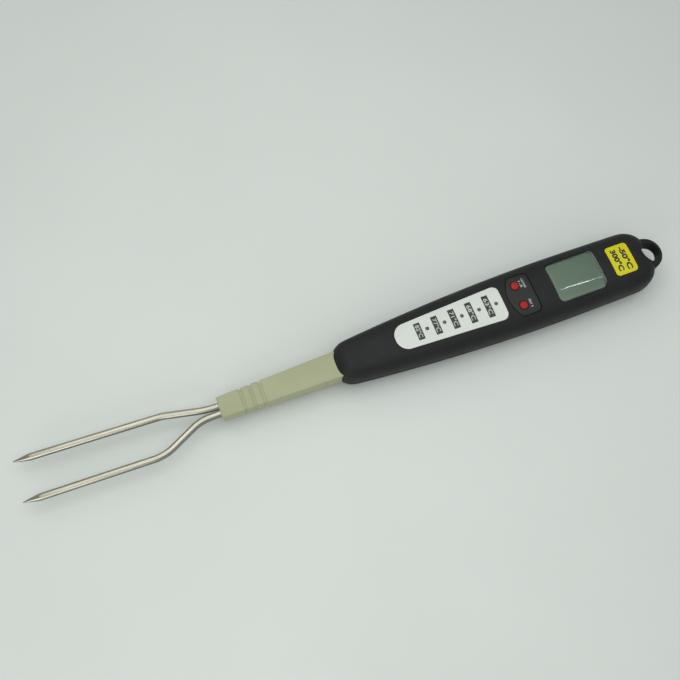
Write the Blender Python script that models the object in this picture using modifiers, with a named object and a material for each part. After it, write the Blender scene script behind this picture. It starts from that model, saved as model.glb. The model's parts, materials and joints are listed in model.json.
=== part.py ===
"""A digital fork thermometer for meat: two steel tines, a plastic neck and a battery-powered handle.

It lies on its back with the display up. The origin is the bottom centre of its box, +X points from the
tines to the hang loop, and +Z is up. Places along the length are stations, which grow toward the loop
from the tine tips at TIP_STATION to the loop's end at LOOP_END.
"""

import math

import bmesh
import bpy
from mathutils import Matrix, Vector

MM = 0.001
GAP = 0.3 * MM  # clearance between neighbouring pieces

# Driving dimensions
TIP_STATION = 1.8 * MM
HANDLE_HALF_WIDTH = 18 * MM
HANDLE_TOP = 24 * MM
PARTING = 10.5 * MM  # height of the joint between the shells, where the handle is widest
WALL = 1.8 * MM
TINE_RADIUS = 1.95 * MM
TINE_HEIGHT = 10.3 * MM  # height of the tines' centre line
TIP_SIDE, TIP_SPREAD = 10.95 * MM, 22.1 * MM
CELL_RADIUS = 5.25 * MM  # an AAA cell
CELL_LENGTH = 44.5 * MM

# Handle shape: stations and the powers of its rounded ends and sides
WIDEST = 300 * MM
NOSE_START, NOSE_LENGTH, NOSE_POWER = 184.4 * MM, 11.0 * MM, 2.5
TAIL_START, TAIL_LENGTH, TAIL_POWER = 348.2 * MM, 15.9 * MM, 2.4
UPPER_POWER, LOWER_POWER = 3.0, 2.25
FOOT_DEPTH = 0.6 * MM  # what the flat underside cuts off the lower curve
CAVITY_END = 354.6 * MM

# Hang loop
LOOP_CENTRE, LOOP_RADIUS = 360.6 * MM, 9.4 * MM
HOLE_CENTRE, HOLE_RADIUS = 362.5 * MM, 5.4 * MM
LOOP_TOP = 18.6 * MM
LOOP_END = LOOP_CENTRE + LOOP_RADIUS

# Neck
NECK_FRONT, NECK_END = 109.5 * MM, 182 * MM
COLLAR_END = 185 * MM
GROOVES = (122.5 * MM, 128.0 * MM, 133.3 * MM)
GROOVE_WIDTH, GROOVE_DEPTH, GROOVE_RAMP = 2.2 * MM, 0.5 * MM, 0.9 * MM
TINE_EXIT = 2.1 * MM  # half the distance between the tines in the neck
TINE_END = 204 * MM

# Face of the handle
LABEL_START, LABEL_END = 208.5 * MM, 271 * MM
LABEL_HALF_START, LABEL_HALF_END = 7.0 * MM, 10.1 * MM
LIGHT_START, LIGHT_PITCH, LIGHT_COUNT = 226.7 * MM, 10.05 * MM, 5
LIGHT_RADIUS = 0.95 * MM
PANEL_START, PANEL_END, PANEL_HALF = 274.2 * MM, 289.5 * MM, 11.75 * MM
PANEL_ARC = 17.8 * MM
BUTTON_STATION, BUTTON_SIDE, BUTTON_RADIUS = 280.8 * MM, 5.95 * MM, 2.2 * MM
WINDOW_START, WINDOW_END, WINDOW_HALF = 300.9 * MM, 329.8 * MM, 11.6 * MM
BADGE_START, BADGE_END, BADGE_HALF = 336.3 * MM, 349.3 * MM, 8.85 * MM

# Inside
BOARD_BOTTOM, BOARD_TOP = 14.2 * MM, 15.4 * MM
BOARD_START, BOARD_END = 216 * MM, 334.5 * MM
BOARD_PARTS = BOARD_TOP + GAP
BAY_START, BAY_END, BAY_HALF, BAY_TOP = 235.2 * MM, 288.4 * MM, 11.6 * MM, 13 * MM
BAY_WALL = 1.2 * MM
TAIL_HALF = 1 * MM  # half the width of a contact's solder tail
CELL_SIDE, CELL_HEIGHT = 5.45 * MM, 7.4 * MM
DOOR_START, DOOR_END, DOOR_HALF = 237.9 * MM, 285.7 * MM, 11 * MM
DOOR_THICKNESS, DOOR_INSET = 1.5 * MM, 0.35 * MM
SHELL_SCREWS = ((211 * MM, 9.2 * MM), (343.5 * MM, 8.8 * MM))
BOARD_SCREWS = ((219.6 * MM, 6.8 * MM), (293.4 * MM, 9.4 * MM))
CLAMP_STATION, CLAMP_SIDE = 198 * MM, 6.4 * MM

MATERIALS = {
    "soft_touch_black": ((0.024, 0.027, 0.026, 1), 0.62, 0),
    "khaki_plastic": ((0.36, 0.38, 0.24, 1), 0.5, 0),
    "stainless_steel": ((0.62, 0.6, 0.57, 1), 0.25, 1),
    "label_white": ((0.66, 0.7, 0.66, 1), 0.5, 0),
    "badge_yellow": ((0.6, 0.53, 0.04, 1), 0.45, 0),
    "panel_grey": ((0.045, 0.047, 0.047, 1), 0.5, 0),
    "button_red": ((0.45, 0.02, 0.02, 1), 0.35, 0),
    "clear_plastic": ((0.75, 0.8, 0.76, 1), 0.06, 0),
    "display_grey": ((0.15, 0.21, 0.15, 1), 0.15, 0),
    "board_green": ((0.03, 0.16, 0.07, 1), 0.45, 0),
    "chip_black": ((0.02, 0.02, 0.02, 1), 0.4, 0),
    "inner_plastic": ((0.05, 0.05, 0.05, 1), 0.5, 0),
    "plated_steel": ((0.6, 0.6, 0.6, 1), 0.3, 1),
    "cell_jacket": ((0.05, 0.12, 0.3, 1), 0.35, 0),
    "rubber": ((0.06, 0.06, 0.06, 1), 0.8, 0),
    "lead_jacket": ((0.4, 0.05, 0.04, 1), 0.45, 0),
}


# ---------------------------------------------------------------- scene and helpers


def clear_scene():
    for old in list(bpy.data.objects):
        bpy.data.objects.remove(old, do_unlink=True)


def new_collection(name):
    made = bpy.data.collections.new(name)
    bpy.context.scene.collection.children.link(made)
    return made


def material(name):
    found = bpy.data.materials.get(name)
    if found:
        return found
    colour, roughness, metallic = MATERIALS[name]
    made = bpy.data.materials.new(name)
    made.use_nodes = True
    shader = made.node_tree.nodes["Principled BSDF"]
    shader.inputs["Base Color"].default_value = colour
    shader.inputs["Roughness"].default_value = roughness
    shader.inputs["Metallic"].default_value = metallic
    return made


def along(station):
    """X of a station."""
    return station - (TIP_STATION + LOOP_END) / 2


def add(name, mesh, finish=None):
    """An object in the model's collection, or a hidden tool where it has no finish."""
    made = bpy.data.objects.new(name, mesh)
    if finish:
        PARTS.objects.link(made)
        mesh.materials.append(material(finish))
    else:
        CUTTERS.objects.link(made)
        made.hide_render = True
        made.display_type = "WIRE"
    return made


def mesh_of(name, form):
    """A mesh from a bmesh, with its faces pointing out."""
    bmesh.ops.recalc_face_normals(form, faces=form.faces)
    mesh = bpy.data.meshes.new(name)
    form.to_mesh(mesh)
    form.free()
    return mesh


def smooth(obj, degrees=35):
    obj.data.shade_smooth()
    obj.data.set_sharp_from_angle(angle=math.radians(degrees))
    return obj


def boolean(target, operation, tool):
    cut = target.modifiers.new(tool.name, "BOOLEAN")
    cut.operation = operation
    cut.solver = "EXACT"
    cut.object = tool
    return target


def add_box(form, low, high):
    """Adds a box to a bmesh. Its corners are (station, y, z)."""
    size = [high[i] - low[i] for i in range(3)]
    corners = bmesh.ops.create_cube(form, size=1)["verts"]
    bmesh.ops.scale(form, vec=size, verts=corners)
    centre = [(high[i] + low[i]) / 2 for i in range(3)]
    bmesh.ops.translate(form, vec=(along(centre[0]), centre[1], centre[2]), verts=corners)


def add_post(form, station, y, low, high, radius, sides=12):
    """Adds an upright cylinder to a bmesh."""
    made = bmesh.ops.create_cone(
        form, cap_ends=True, segments=sides, radius1=radius, radius2=radius, depth=high - low
    )
    place = (along(station), y, (low + high) / 2)
    bmesh.ops.translate(form, vec=place, verts=made["verts"])


def box(name, low, high, finish=None, bevel=0):
    form = bmesh.new()
    add_box(form, low, high)
    obj = add(name, mesh_of(name, form), finish)
    if bevel:
        edges = obj.modifiers.new("edges", "BEVEL")
        edges.width = bevel
        edges.segments = 2
    return obj


def post(name, station, y, low, high, radius, finish=None, sides=12):
    form = bmesh.new()
    add_post(form, station, y, low, high, radius, sides)
    obj = add(name, mesh_of(name, form), finish)
    return smooth(obj) if finish else obj


def posts(name, places, low, high, radius, sides=12):
    form = bmesh.new()
    for station, y in places:
        add_post(form, station, y, low, high, radius, sides)
    return add(name, mesh_of(name, form))


def both_sides(places):
    return [(station, side * y) for station, y in places for side in (-1, 1)]


def fillet(previous, corner, following, radius, steps):
    """Points round a corner, from one tangent point to the other."""
    corner = Vector(corner)
    before = (Vector(previous) - corner).normalized()
    after = (Vector(following) - corner).normalized()
    half = before.angle(after) / 2
    centre = corner + (before + after).normalized() * radius / math.sin(half)
    start = corner + before * radius / math.tan(half) - centre
    end = corner + after * radius / math.tan(half) - centre
    return [centre + start.slerp(end, k / steps) * radius for k in range(steps + 1)]


def rounded(corners, steps=4, closed=True):
    """An outline, or an open path, through corners (station, y, radius), each rounded by its radius."""
    points = []
    for i, (station, y, radius) in enumerate(corners):
        ends_here = not closed and i in (0, len(corners) - 1)
        if radius == 0 or ends_here:
            points.append(Vector((station, y)))
            continue
        following = corners[(i + 1) % len(corners)]
        points += fillet(corners[i - 1][:2], (station, y), following[:2], radius, steps)
    return points


def prism(name, outline, low, high, finish=None):
    """An upright prism over an outline of (station, y) points."""
    form = bmesh.new()
    base = [form.verts.new((along(p[0]), p[1], low)) for p in outline]
    roof = [form.verts.new((v.co.x, v.co.y, high)) for v in base]
    form.faces.new(base)
    form.faces.new(roof)
    for i in range(len(base)):
        j = (i + 1) % len(base)
        form.faces.new((base[i], base[j], roof[j], roof[i]))
    return add(name, mesh_of(name, form), finish)


def loft(name, sections, finish=None):
    """A closed solid through sections, each a ring of the same number of points."""
    form = bmesh.new()
    rings = [[form.verts.new(p) for p in section] for section in sections]
    count = len(rings[0])
    for one, two in zip(rings, rings[1:]):
        for i in range(count):
            j = (i + 1) % count
            form.faces.new((one[i], one[j], two[j], two[i]))
    form.faces.new(rings[0])
    form.faces.new(rings[-1])
    return add(name, mesh_of(name, form), finish)


def turned(name, profile, station, y, finish, steps=20):
    """A piece turned about an upright axis. The profile runs top to bottom as (radius, z) points."""
    mesh = bpy.data.meshes.new(name)
    edges = [(i, i + 1) for i in range(len(profile) - 1)]
    mesh.from_pydata([(r, 0, z) for r, z in profile], edges, [])
    obj = add(name, mesh, finish)
    obj.location = (along(station), y, 0)
    screw = obj.modifiers.new("turn", "SCREW")
    screw.steps = steps
    screw.render_steps = steps
    screw.use_merge_vertices = True
    screw.merge_threshold = 0.01 * MM
    return obj


def wire(name, points, radius, finish=None, tip_radius=None, resolution=2, caps=True):
    """A round rod or wire along points (station, y, z), made a mesh with welded caps."""
    curve = bpy.data.curves.new(name, "CURVE")
    curve.dimensions = "3D"
    curve.bevel_depth = radius
    curve.bevel_resolution = resolution
    curve.use_fill_caps = caps
    spline = curve.splines.new("POLY")
    spline.points.add(len(points) - 1)
    for point, (station, y, z) in zip(spline.points, points):
        point.co = (along(station), y, z, 1)
    if tip_radius:
        spline.points[0].radius = tip_radius / radius
    guide = bpy.data.objects.new(name + "_curve", curve)
    bpy.context.scene.collection.objects.link(guide)
    bpy.context.view_layer.update()
    mesh = bpy.data.meshes.new_from_object(guide.evaluated_get(bpy.context.evaluated_depsgraph_get()))
    bpy.data.objects.remove(guide, do_unlink=True)
    form = bmesh.new()
    form.from_mesh(mesh)
    bmesh.ops.remove_doubles(form, verts=form.verts, dist=0.001 * MM)
    bmesh.ops.recalc_face_normals(form, faces=form.faces)
    form.to_mesh(mesh)
    form.free()
    mesh.materials.clear()
    mesh.name = name
    obj = add(name, mesh, finish)
    return smooth(obj) if finish else obj


# ---------------------------------------------------------------- handle shape

OUTER_STEPS, INNER_STEPS = 16, 12  # points round half a section


def handle_half_width(station):
    toward_neck = max(0, WIDEST - station) / (60 * MM)
    toward_loop = max(0, station - WIDEST) / (40 * MM)
    return HANDLE_HALF_WIDTH - 1.7 * MM * toward_neck**1.95 - 0.5 * MM * toward_loop**1.5


def handle_top(station):
    return HANDLE_TOP - 2 * MM * (max(0, WIDEST - station) / (125 * MM)) ** 1.5


def end_factor(station, inset):
    """How far the rounded ends have drawn the section in, from 1 to 0."""
    if station < NOSE_START:
        share, power = (NOSE_START - station) / (NOSE_LENGTH - inset), NOSE_POWER
    elif station > TAIL_START:
        share, power = (station - TAIL_START) / (TAIL_LENGTH - inset), TAIL_POWER
    else:
        return 1
    return max(0, 1 - share**power) ** (1 / power)


def handle_section(station, inset, drop=0):
    """The handle's outline at a station, set in by inset all round and lowered by drop on top."""
    factor = end_factor(station, inset)
    half = (handle_half_width(station) - inset) * factor
    rise = (handle_top(station) - PARTING - inset) * factor - drop
    fall = (PARTING + FOOT_DEPTH - inset) * factor
    steps = INNER_STEPS if inset else OUTER_STEPS
    ring = []
    for power, height, start in ((UPPER_POWER, rise, 0), (LOWER_POWER, -fall, 180)):
        for step in range(steps):
            angle = math.radians(start + 180 * step / steps)
            across = abs(math.cos(angle)) ** (2 / power) * math.copysign(half, math.cos(angle))
            up = abs(math.sin(angle)) ** (2 / power) * height
            ring.append((along(station), across, PARTING + up))
    return ring


def handle_stations(inset, last=None):
    """Stations for a loft, close together where the ends turn in."""
    nose = [math.sin(math.radians(a)) ** (2 / NOSE_POWER) for a in (84, 74, 60, 44, 26)]
    tail = [math.sin(math.radians(a)) ** (2 / TAIL_POWER) for a in (20, 34, 48, 60, 72, 84)]
    stations = [NOSE_START - share * (NOSE_LENGTH - inset) for share in nose]
    stations += [s * MM for s in (184.4, 192, 202, 214, 228, 244, 262, 282, 300, 322, 340, 348.5)]
    stations += [TAIL_START + share * (TAIL_LENGTH - inset) for share in tail]
    if last:
        stations = [s for s in stations if s < last - MM] + [last]
    return stations


def handle_loft(name, inset, drop=0, last=None):
    return loft(name, [handle_section(s, inset, drop) for s in handle_stations(inset, last)])


def half_shell(name, finish, keep_above):
    """The handle's outer solid on one side of the parting line, the lower one with a flat foot."""
    form = bmesh.new()
    source = handle_loft(name + "_form", 0)
    form.from_mesh(source.data)
    bpy.data.objects.remove(source, do_unlink=True)
    level = PARTING + (GAP / 2 if keep_above else -GAP / 2)
    planes = [(level, keep_above)]
    if not keep_above:
        planes.append((0, True))
    for height, above in planes:
        bmesh.ops.bisect_plane(
            form,
            geom=form.verts[:] + form.edges[:] + form.faces[:],
            plane_co=(0, 0, height),
            plane_no=(0, 0, -1 if above else 1),
            clear_outer=True,
        )
        open_edges = [edge for edge in form.edges if edge.is_boundary]
        bmesh.ops.holes_fill(form, edges=open_edges)
    return smooth(add(name, mesh_of(name, form), finish), 30)


def label_outline(margin=0):
    low, high = LABEL_START - margin, LABEL_END + margin
    start, end = LABEL_HALF_START + margin, LABEL_HALF_END + margin
    blunt, tight = 6.8 * MM + margin, 3.5 * MM + margin
    return rounded(
        [(low, -start, blunt), (high, -end, tight), (high, end, tight), (low, start, blunt)], 6
    )


def panel_outline(margin=0):
    """Nearly straight toward the display and an arc toward the label."""
    end, half = PANEL_END + margin, PANEL_HALF + margin
    reach = PANEL_ARC + margin
    centre = PANEL_START + PANEL_ARC
    arc = []
    for k in range(-4, 5):
        y = k / 4 * 9.6 * MM
        arc.append((centre - math.sqrt(reach**2 - y**2), y, 0))
    side = centre - math.sqrt(reach**2 - half**2)
    corners = [(side, half, 2 * MM), (end, half, 2.5 * MM), (end, -half, 2.5 * MM), (side, -half, 2 * MM)]
    return rounded(arc + corners)


def rectangle(start, end, half, radius, margin=0):
    radius += margin
    low, high, side = start - margin, end + margin, half + margin
    return rounded([(low, -side, radius), (high, -side, radius), (high, side, radius), (low, side, radius)])


def face_patch(name, outline, top_drop, bottom_drop, finish):
    """A curved plate that follows the handle's top, between two depths below it."""
    obj = prism(name, outline, PARTING, HANDLE_TOP + MM, finish)
    boolean(obj, "INTERSECT", handle_loft(name + "_over", 0, top_drop))
    boolean(obj, "DIFFERENCE", handle_loft(name + "_under", 0, bottom_drop))
    return smooth(obj, 30)


def face_recess(name, outline, depth):
    """A cutter that sinks an outline into the handle's top."""
    obj = prism(name, outline, PARTING + MM, HANDLE_TOP + MM)
    return boolean(obj, "DIFFERENCE", handle_loft(name + "_floor", 0, depth))


def light_stations():
    return [LIGHT_START + k * LIGHT_PITCH for k in range(LIGHT_COUNT)]


# ---------------------------------------------------------------- neck and tines


def neck_section(station, margin=0):
    """A flat-topped box section with bevelled edges, wider and taller toward the handle.

    Its sides lean in a little toward the top.
    """
    share = (station - NECK_FRONT) / (NECK_END - NECK_FRONT)
    half = (6.1 + 1.65 * share) * MM + margin
    low = (6.6 - 0.6 * share) * MM - margin
    high = (14.9 + 2.6 * share) * MM + margin
    bevel, lean = 0.9 * MM, 0.25 * MM
    top_half = half - lean
    corners = ((half, low), (top_half, high), (-top_half, high), (-half, low))
    ring = []
    for y, z in corners:
        inward_y = y - math.copysign(bevel, y)
        inward_z = z + (bevel if z == low else -bevel)
        middle_y = y - math.copysign(0.3 * bevel, y)
        middle_z = z + 0.3 * (inward_z - z)
        walk = [(y, inward_z), (middle_y, middle_z), (inward_y, z)]
        if (y > 0) == (z == low):
            walk.reverse()
        ring += [(along(station), *point) for point in walk]
    return ring


def neck_stations():
    """Stations with how far the section is set in, which is deeper inside a groove."""
    edge = 0.25 * MM
    places = [(NECK_FRONT, -0.4 * MM), (NECK_FRONT + 0.5 * MM, 0)]
    for groove in GROOVES:
        low, high = groove - GROOVE_WIDTH / 2, groove + GROOVE_WIDTH / 2
        places += [(low, 0), (low + GROOVE_RAMP, -GROOVE_DEPTH), (high - edge, -GROOVE_DEPTH), (high, 0)]
    collar = 0.45 * MM
    places += [(NECK_END, 0), (NECK_END + 0.05 * MM, collar), (COLLAR_END, collar)]
    return places


def tine_route(side):
    """Centre line of a tine from its tip into the handle, with its bends rounded."""
    if side > 0:
        bends = [(80 * MM, 7.3 * MM, 32 * MM), (103.6 * MM, TINE_EXIT, 56 * MM)]
        tip = TIP_SIDE
    else:
        bends = [(75.7 * MM, -13.4 * MM, 24 * MM), (98.3 * MM, -TINE_EXIT, 24 * MM)]
        tip = TIP_SIDE - TIP_SPREAD
    corners = [(TIP_STATION, tip, 0)] + bends + [(TINE_END, side * TINE_EXIT, 0)]
    return rounded(corners, 6, closed=False)


def neck_loft(name, margin=0, finish=None):
    sections = []
    for station, change in neck_stations():
        sections.append(neck_section(station, margin + change))
    return loft(name, sections, finish)


def lengthwise_rod(name, y, z, low, high, radius):
    """A cutter along the handle."""
    form = bmesh.new()
    made = bmesh.ops.create_cone(
        form, cap_ends=True, segments=20, radius1=radius, radius2=radius, depth=high - low
    )["verts"]
    bmesh.ops.rotate(form, verts=made, cent=(0, 0, 0), matrix=Matrix.Rotation(math.pi / 2, 3, "Y"))
    bmesh.ops.translate(form, verts=made, vec=(along((low + high) / 2), y, z))
    return add(name, mesh_of(name, form))


def build_neck():
    neck = smooth(neck_loft("neck_sleeve", 0, "khaki_plastic"), 20)
    low, high = NECK_FRONT - 2 * MM, COLLAR_END + 2 * MM
    for name, y in (("left_bore", -TINE_EXIT), ("right_bore", TINE_EXIT)):
        rod = lengthwise_rod(name, y, TINE_HEIGHT, low, high, TINE_RADIUS + GAP)
        boolean(neck, "DIFFERENCE", rod)


def build_tines():
    taper = 8.8 * MM
    bore_start = 10.8 * MM
    for name, side in (("sensor_tine", 1), ("support_tine", -1)):
        route = tine_route(side)
        direction = (route[1] - route[0]).normalized()
        shoulder = route[0] + direction * taper
        line = [route[0], shoulder] + route[1:]
        points = [(*point, TINE_HEIGHT) for point in line]
        tine = wire(name, points, TINE_RADIUS, "stainless_steel", tip_radius=0.35 * MM, resolution=3)
        if side < 0:
            continue
        inner = [route[0] + direction * bore_start] + route[1:-1]
        inner.append(route[-1] + Vector((2 * MM, 0)))
        bore = wire("sensor_bore", [(*point, TINE_HEIGHT) for point in inner], 1.25 * MM)
        boolean(tine, "DIFFERENCE", bore)
        bead_place = route[0] + direction * 12.9 * MM
        build_sensor(bead_place, [route[0] + direction * 14.5 * MM] + route[1:])


def build_sensor(bead_place, route):
    form = bmesh.new()
    bead = bmesh.ops.create_uvsphere(form, u_segments=8, v_segments=6, radius=0.85 * MM)["verts"]
    bmesh.ops.scale(form, vec=(1.4, 1, 1), verts=bead)
    place = (along(bead_place.x), bead_place.y, TINE_HEIGHT)
    bmesh.ops.translate(form, vec=place, verts=bead)
    smooth(add("sensor_bead", mesh_of("sensor_bead", form), "chip_black"), 80)
    points = [(*point, TINE_HEIGHT) for point in route]
    points += [(206 * MM, 2.2 * MM, 10.4 * MM), (209 * MM, 2.6 * MM, 11.2 * MM)]
    points += [(213 * MM, 3.2 * MM, 12.4 * MM), (217 * MM, 3.6 * MM, 13.1 * MM)]
    points += [(221 * MM, 3.6 * MM, 13.25 * MM)]
    wire("sensor_lead", points, 0.55 * MM, "lead_jacket")


def build_clamp():
    """A plate over the tine ends, screwed down to posts in the lower shell."""
    tine_top = TINE_HEIGHT + TINE_RADIUS
    low = (193 * MM, -8.6 * MM, tine_top + GAP)
    high = (203 * MM, 8.6 * MM, tine_top + GAP + 1.2 * MM)
    plate = box("tine_clamp", low, high, "plated_steel")
    holes = posts("clamp_holes", both_sides([(CLAMP_STATION, CLAMP_SIDE)]), 0, HANDLE_TOP, 1.3 * MM)
    boolean(plate, "DIFFERENCE", holes)
    for number, side in enumerate((-1, 1), 1):
        screw = screw_profile(high[2] + GAP, 2.2 * MM, 1.3 * MM, 1 * MM, 7 * MM)
        turned(f"clamp_screw_{number}", screw, CLAMP_STATION, side * CLAMP_SIDE, "plated_steel", 12)


def screw_profile(seat, head_radius, head_height, shank_radius, shank_length):
    """A pan-head screw standing head up on a seat height, as a profile from the top down."""
    return [
        (0, seat + head_height),
        (0.7 * head_radius, seat + head_height),
        (head_radius, seat + 0.55 * head_height),
        (head_radius, seat),
        (shank_radius, seat),
        (shank_radius, seat - shank_length + shank_radius),
        (0, seat - shank_length),
    ]


def head_down(profile, seat):
    """The same screw turned over about its seat, still from the top down."""
    return [(radius, 2 * seat - z) for radius, z in reversed(profile)]


# ---------------------------------------------------------------- shells and door


def cavity(name):
    return handle_loft(name, WALL, last=CAVITY_END)


def mid_wall(name):
    return handle_loft(name, WALL / 2, last=CAVITY_END + MM)


def build_upper_shell():
    shell = half_shell("upper_shell", "soft_touch_black", keep_above=True)
    level = PARTING + GAP / 2
    ring = post("hang_ring", LOOP_CENTRE, 0, level, LOOP_TOP, LOOP_RADIUS, sides=40)
    rim = ring.modifiers.new("rim", "BEVEL")
    rim.width = 1.4 * MM
    rim.segments = 3
    boolean(shell, "UNION", ring)
    boolean(shell, "DIFFERENCE", cavity("upper_cavity"))
    form = bmesh.new()
    for station, y in both_sides(SHELL_SCREWS):
        add_post(form, station, y, level, HANDLE_TOP, 2.9 * MM)
    for station, y in both_sides(BOARD_SCREWS):
        add_post(form, station, y, BOARD_TOP + GAP, HANDLE_TOP, 2 * MM)
    add_box(form, (185.6 * MM, -12 * MM, level), (186.9 * MM, 12 * MM, HANDLE_TOP))
    ribs = add("upper_ribs", mesh_of("upper_ribs", form))
    boolean(ribs, "INTERSECT", mid_wall("upper_rib_limit"))
    boolean(shell, "UNION", ribs)
    boolean(shell, "DIFFERENCE", neck_opening("upper_neck_opening"))
    tools = [
        posts("upper_screw_holes", both_sides(SHELL_SCREWS), PARTING - MM, 17 * MM, 1.55 * MM),
        posts("board_screw_holes", both_sides(BOARD_SCREWS), 14 * MM, 19.4 * MM, 1.2 * MM),
        prism("window_opening", rectangle(WINDOW_START, WINDOW_END, WINDOW_HALF, 3 * MM), 14 * MM, 26 * MM),
        prism("panel_opening", panel_outline(GAP), 14 * MM, 26 * MM),
        face_recess("label_recess", label_outline(GAP), 0.75 * MM),
        face_recess("badge_recess", rectangle(BADGE_START, BADGE_END, BADGE_HALF, 2 * MM, GAP), 0.65 * MM),
        posts("light_holes", [(s, 0) for s in light_stations()], 16 * MM, 26 * MM, LIGHT_RADIUS + GAP, 12),
        post("hang_hole", HOLE_CENTRE, 0, 8 * MM, 26 * MM, HOLE_RADIUS, sides=32),
    ]
    for tool in tools:
        boolean(shell, "DIFFERENCE", tool)


def neck_opening(name):
    """What the neck, and the tines behind it, take out of both shells."""
    sections = []
    for station in (168 * MM, 181.2 * MM):
        sections.append(neck_section(station, GAP))
    opening = loft(name, sections)
    slot = box(name + "_slot", (180 * MM, -4.6 * MM, 7.9 * MM), (190 * MM, 4.6 * MM, 12.7 * MM))
    return boolean(opening, "UNION", slot)


def build_lower_shell():
    shell = half_shell("lower_shell", "soft_touch_black", keep_above=False)
    boolean(shell, "DIFFERENCE", cavity("lower_cavity"))
    level = PARTING - GAP / 2
    form = bmesh.new()
    for station, y in both_sides(SHELL_SCREWS):
        add_post(form, station, y, 0, level, 3.6 * MM)
    for side in (-1, 1):
        add_post(form, CLAMP_STATION, side * CLAMP_SIDE, 0, TINE_HEIGHT + TINE_RADIUS, 2 * MM)
    add_box(form, (185.6 * MM, -12 * MM, 0), (186.9 * MM, 12 * MM, level))
    add_box(form, (194 * MM, -4.2 * MM, 0), (202 * MM, 4.2 * MM, TINE_HEIGHT - TINE_RADIUS - GAP))
    low = (BAY_START - BAY_WALL, -BAY_HALF - BAY_WALL, 0)
    high = (BAY_END + BAY_WALL, BAY_HALF + BAY_WALL, BAY_TOP + 0.8 * MM)
    add_box(form, low, high)
    ribs = add("lower_ribs", mesh_of("lower_ribs", form))
    boolean(ribs, "INTERSECT", mid_wall("lower_rib_limit"))
    boolean(shell, "UNION", ribs)
    bay = box("bay_space", (BAY_START, -BAY_HALF, 0), (BAY_END, BAY_HALF, BAY_TOP))
    boolean(bay, "INTERSECT", cavity("bay_limit"))
    scoop = post("finger_scoop", 292 * MM, 0, -12.6 * MM, 1.2 * MM, 7 * MM, sides=20)
    rounding = scoop.modifiers.new("round", "BEVEL")
    rounding.width = 1.1 * MM
    rounding.segments = 2
    tools = [
        bay,
        prism("door_opening", rectangle(DOOR_START, DOOR_END, DOOR_HALF, 1.5 * MM, GAP), -MM, 4 * MM),
        posts("screw_shafts", both_sides(SHELL_SCREWS), 3 * MM, 12 * MM, 1.55 * MM),
        posts("screw_wells", both_sides(SHELL_SCREWS), -MM, 5 * MM, 2.7 * MM, 16),
        posts("clamp_shafts", both_sides([(CLAMP_STATION, CLAMP_SIDE)]), 4 * MM, 14 * MM, 1.3 * MM),
        post("hang_notch", 364.9 * MM, 0, -MM, 12 * MM, 8.4 * MM, sides=32),
        *tail_slots(),
        scoop,
        neck_opening("lower_neck_opening"),
    ]
    for tool in tools:
        boolean(shell, "DIFFERENCE", tool)


def tail_slots():
    """Slots in the cell bay's roof for the solder tails of the two end contacts."""
    slots = []
    for number, side in enumerate((-1, 1), 1):
        middle = side * CELL_SIDE
        low = (BAY_START, middle - TAIL_HALF - GAP, BAY_TOP - MM)
        high = (BAY_START + 1.2 * MM, middle + TAIL_HALF + GAP, BAY_TOP + 2 * MM)
        slots.append(box(f"tail_slot_{number}", low, high))
    return slots


def build_door():
    """A curved plate with a hook at its hinge end and a sprung latch tongue at the other."""
    outline = rectangle(DOOR_START, DOOR_END, DOOR_HALF, 1.5 * MM)
    door = prism("battery_door", outline, DOOR_INSET, 5 * MM, "soft_touch_black")
    boolean(door, "INTERSECT", handle_loft("door_outside", DOOR_INSET))
    boolean(door, "DIFFERENCE", handle_loft("door_inside", DOOR_INSET + DOOR_THICKNESS))
    hook = box("hook_root", (DOOR_START + 0.1 * MM, -1.4 * MM, MM), (DOOR_START + 2 * MM, 1.4 * MM, 3.1 * MM))
    tip = box("hook_tip", (DOOR_START - 1.8 * MM, -1.3 * MM, 2.15 * MM), (DOOR_START + MM, 1.3 * MM, 3 * MM))
    boolean(hook, "UNION", tip)
    boolean(door, "UNION", hook)
    for name, side in (("tongue_slot_left", -1), ("tongue_slot_right", 1)):
        inner, outer = sorted((side * 4.2 * MM, side * 5 * MM))
        low = (DOOR_END - 8 * MM, inner, -MM)
        boolean(door, "DIFFERENCE", box(name, low, (DOOR_END + MM, outer, 7 * MM)))
    smooth(door, 30)


def build_shell_screws():
    number = 0
    seat = 5 * MM - GAP
    for station, y in both_sides(SHELL_SCREWS):
        number += 1
        profile = head_down(screw_profile(seat, 2.3 * MM, 1.6 * MM, 1.25 * MM, 11 * MM), seat)
        turned(f"shell_screw_{number}", profile, station, y, "plated_steel", 12)


# ---------------------------------------------------------------- face pieces


def build_face():
    label = face_patch("preset_label", label_outline(), 0, 0.4 * MM, "label_white")
    holes = posts("label_holes", [(s, 0) for s in light_stations()], 15 * MM, 26 * MM, LIGHT_RADIUS + GAP, 12)
    boolean(label, "DIFFERENCE", holes)
    badge = rectangle(BADGE_START, BADGE_END, BADGE_HALF, 2 * MM)
    face_patch("badge_sticker", badge, 0, 0.3 * MM, "badge_yellow")
    panel = face_patch("button_panel", panel_outline(), 0.35 * MM, 1.7 * MM, "panel_grey")
    places = both_sides([(BUTTON_STATION, BUTTON_SIDE)])
    boolean(panel, "DIFFERENCE", posts("button_holes", places, 15 * MM, 26 * MM, BUTTON_RADIUS + GAP, 24))
    build_window()
    build_light_guide()


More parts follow.
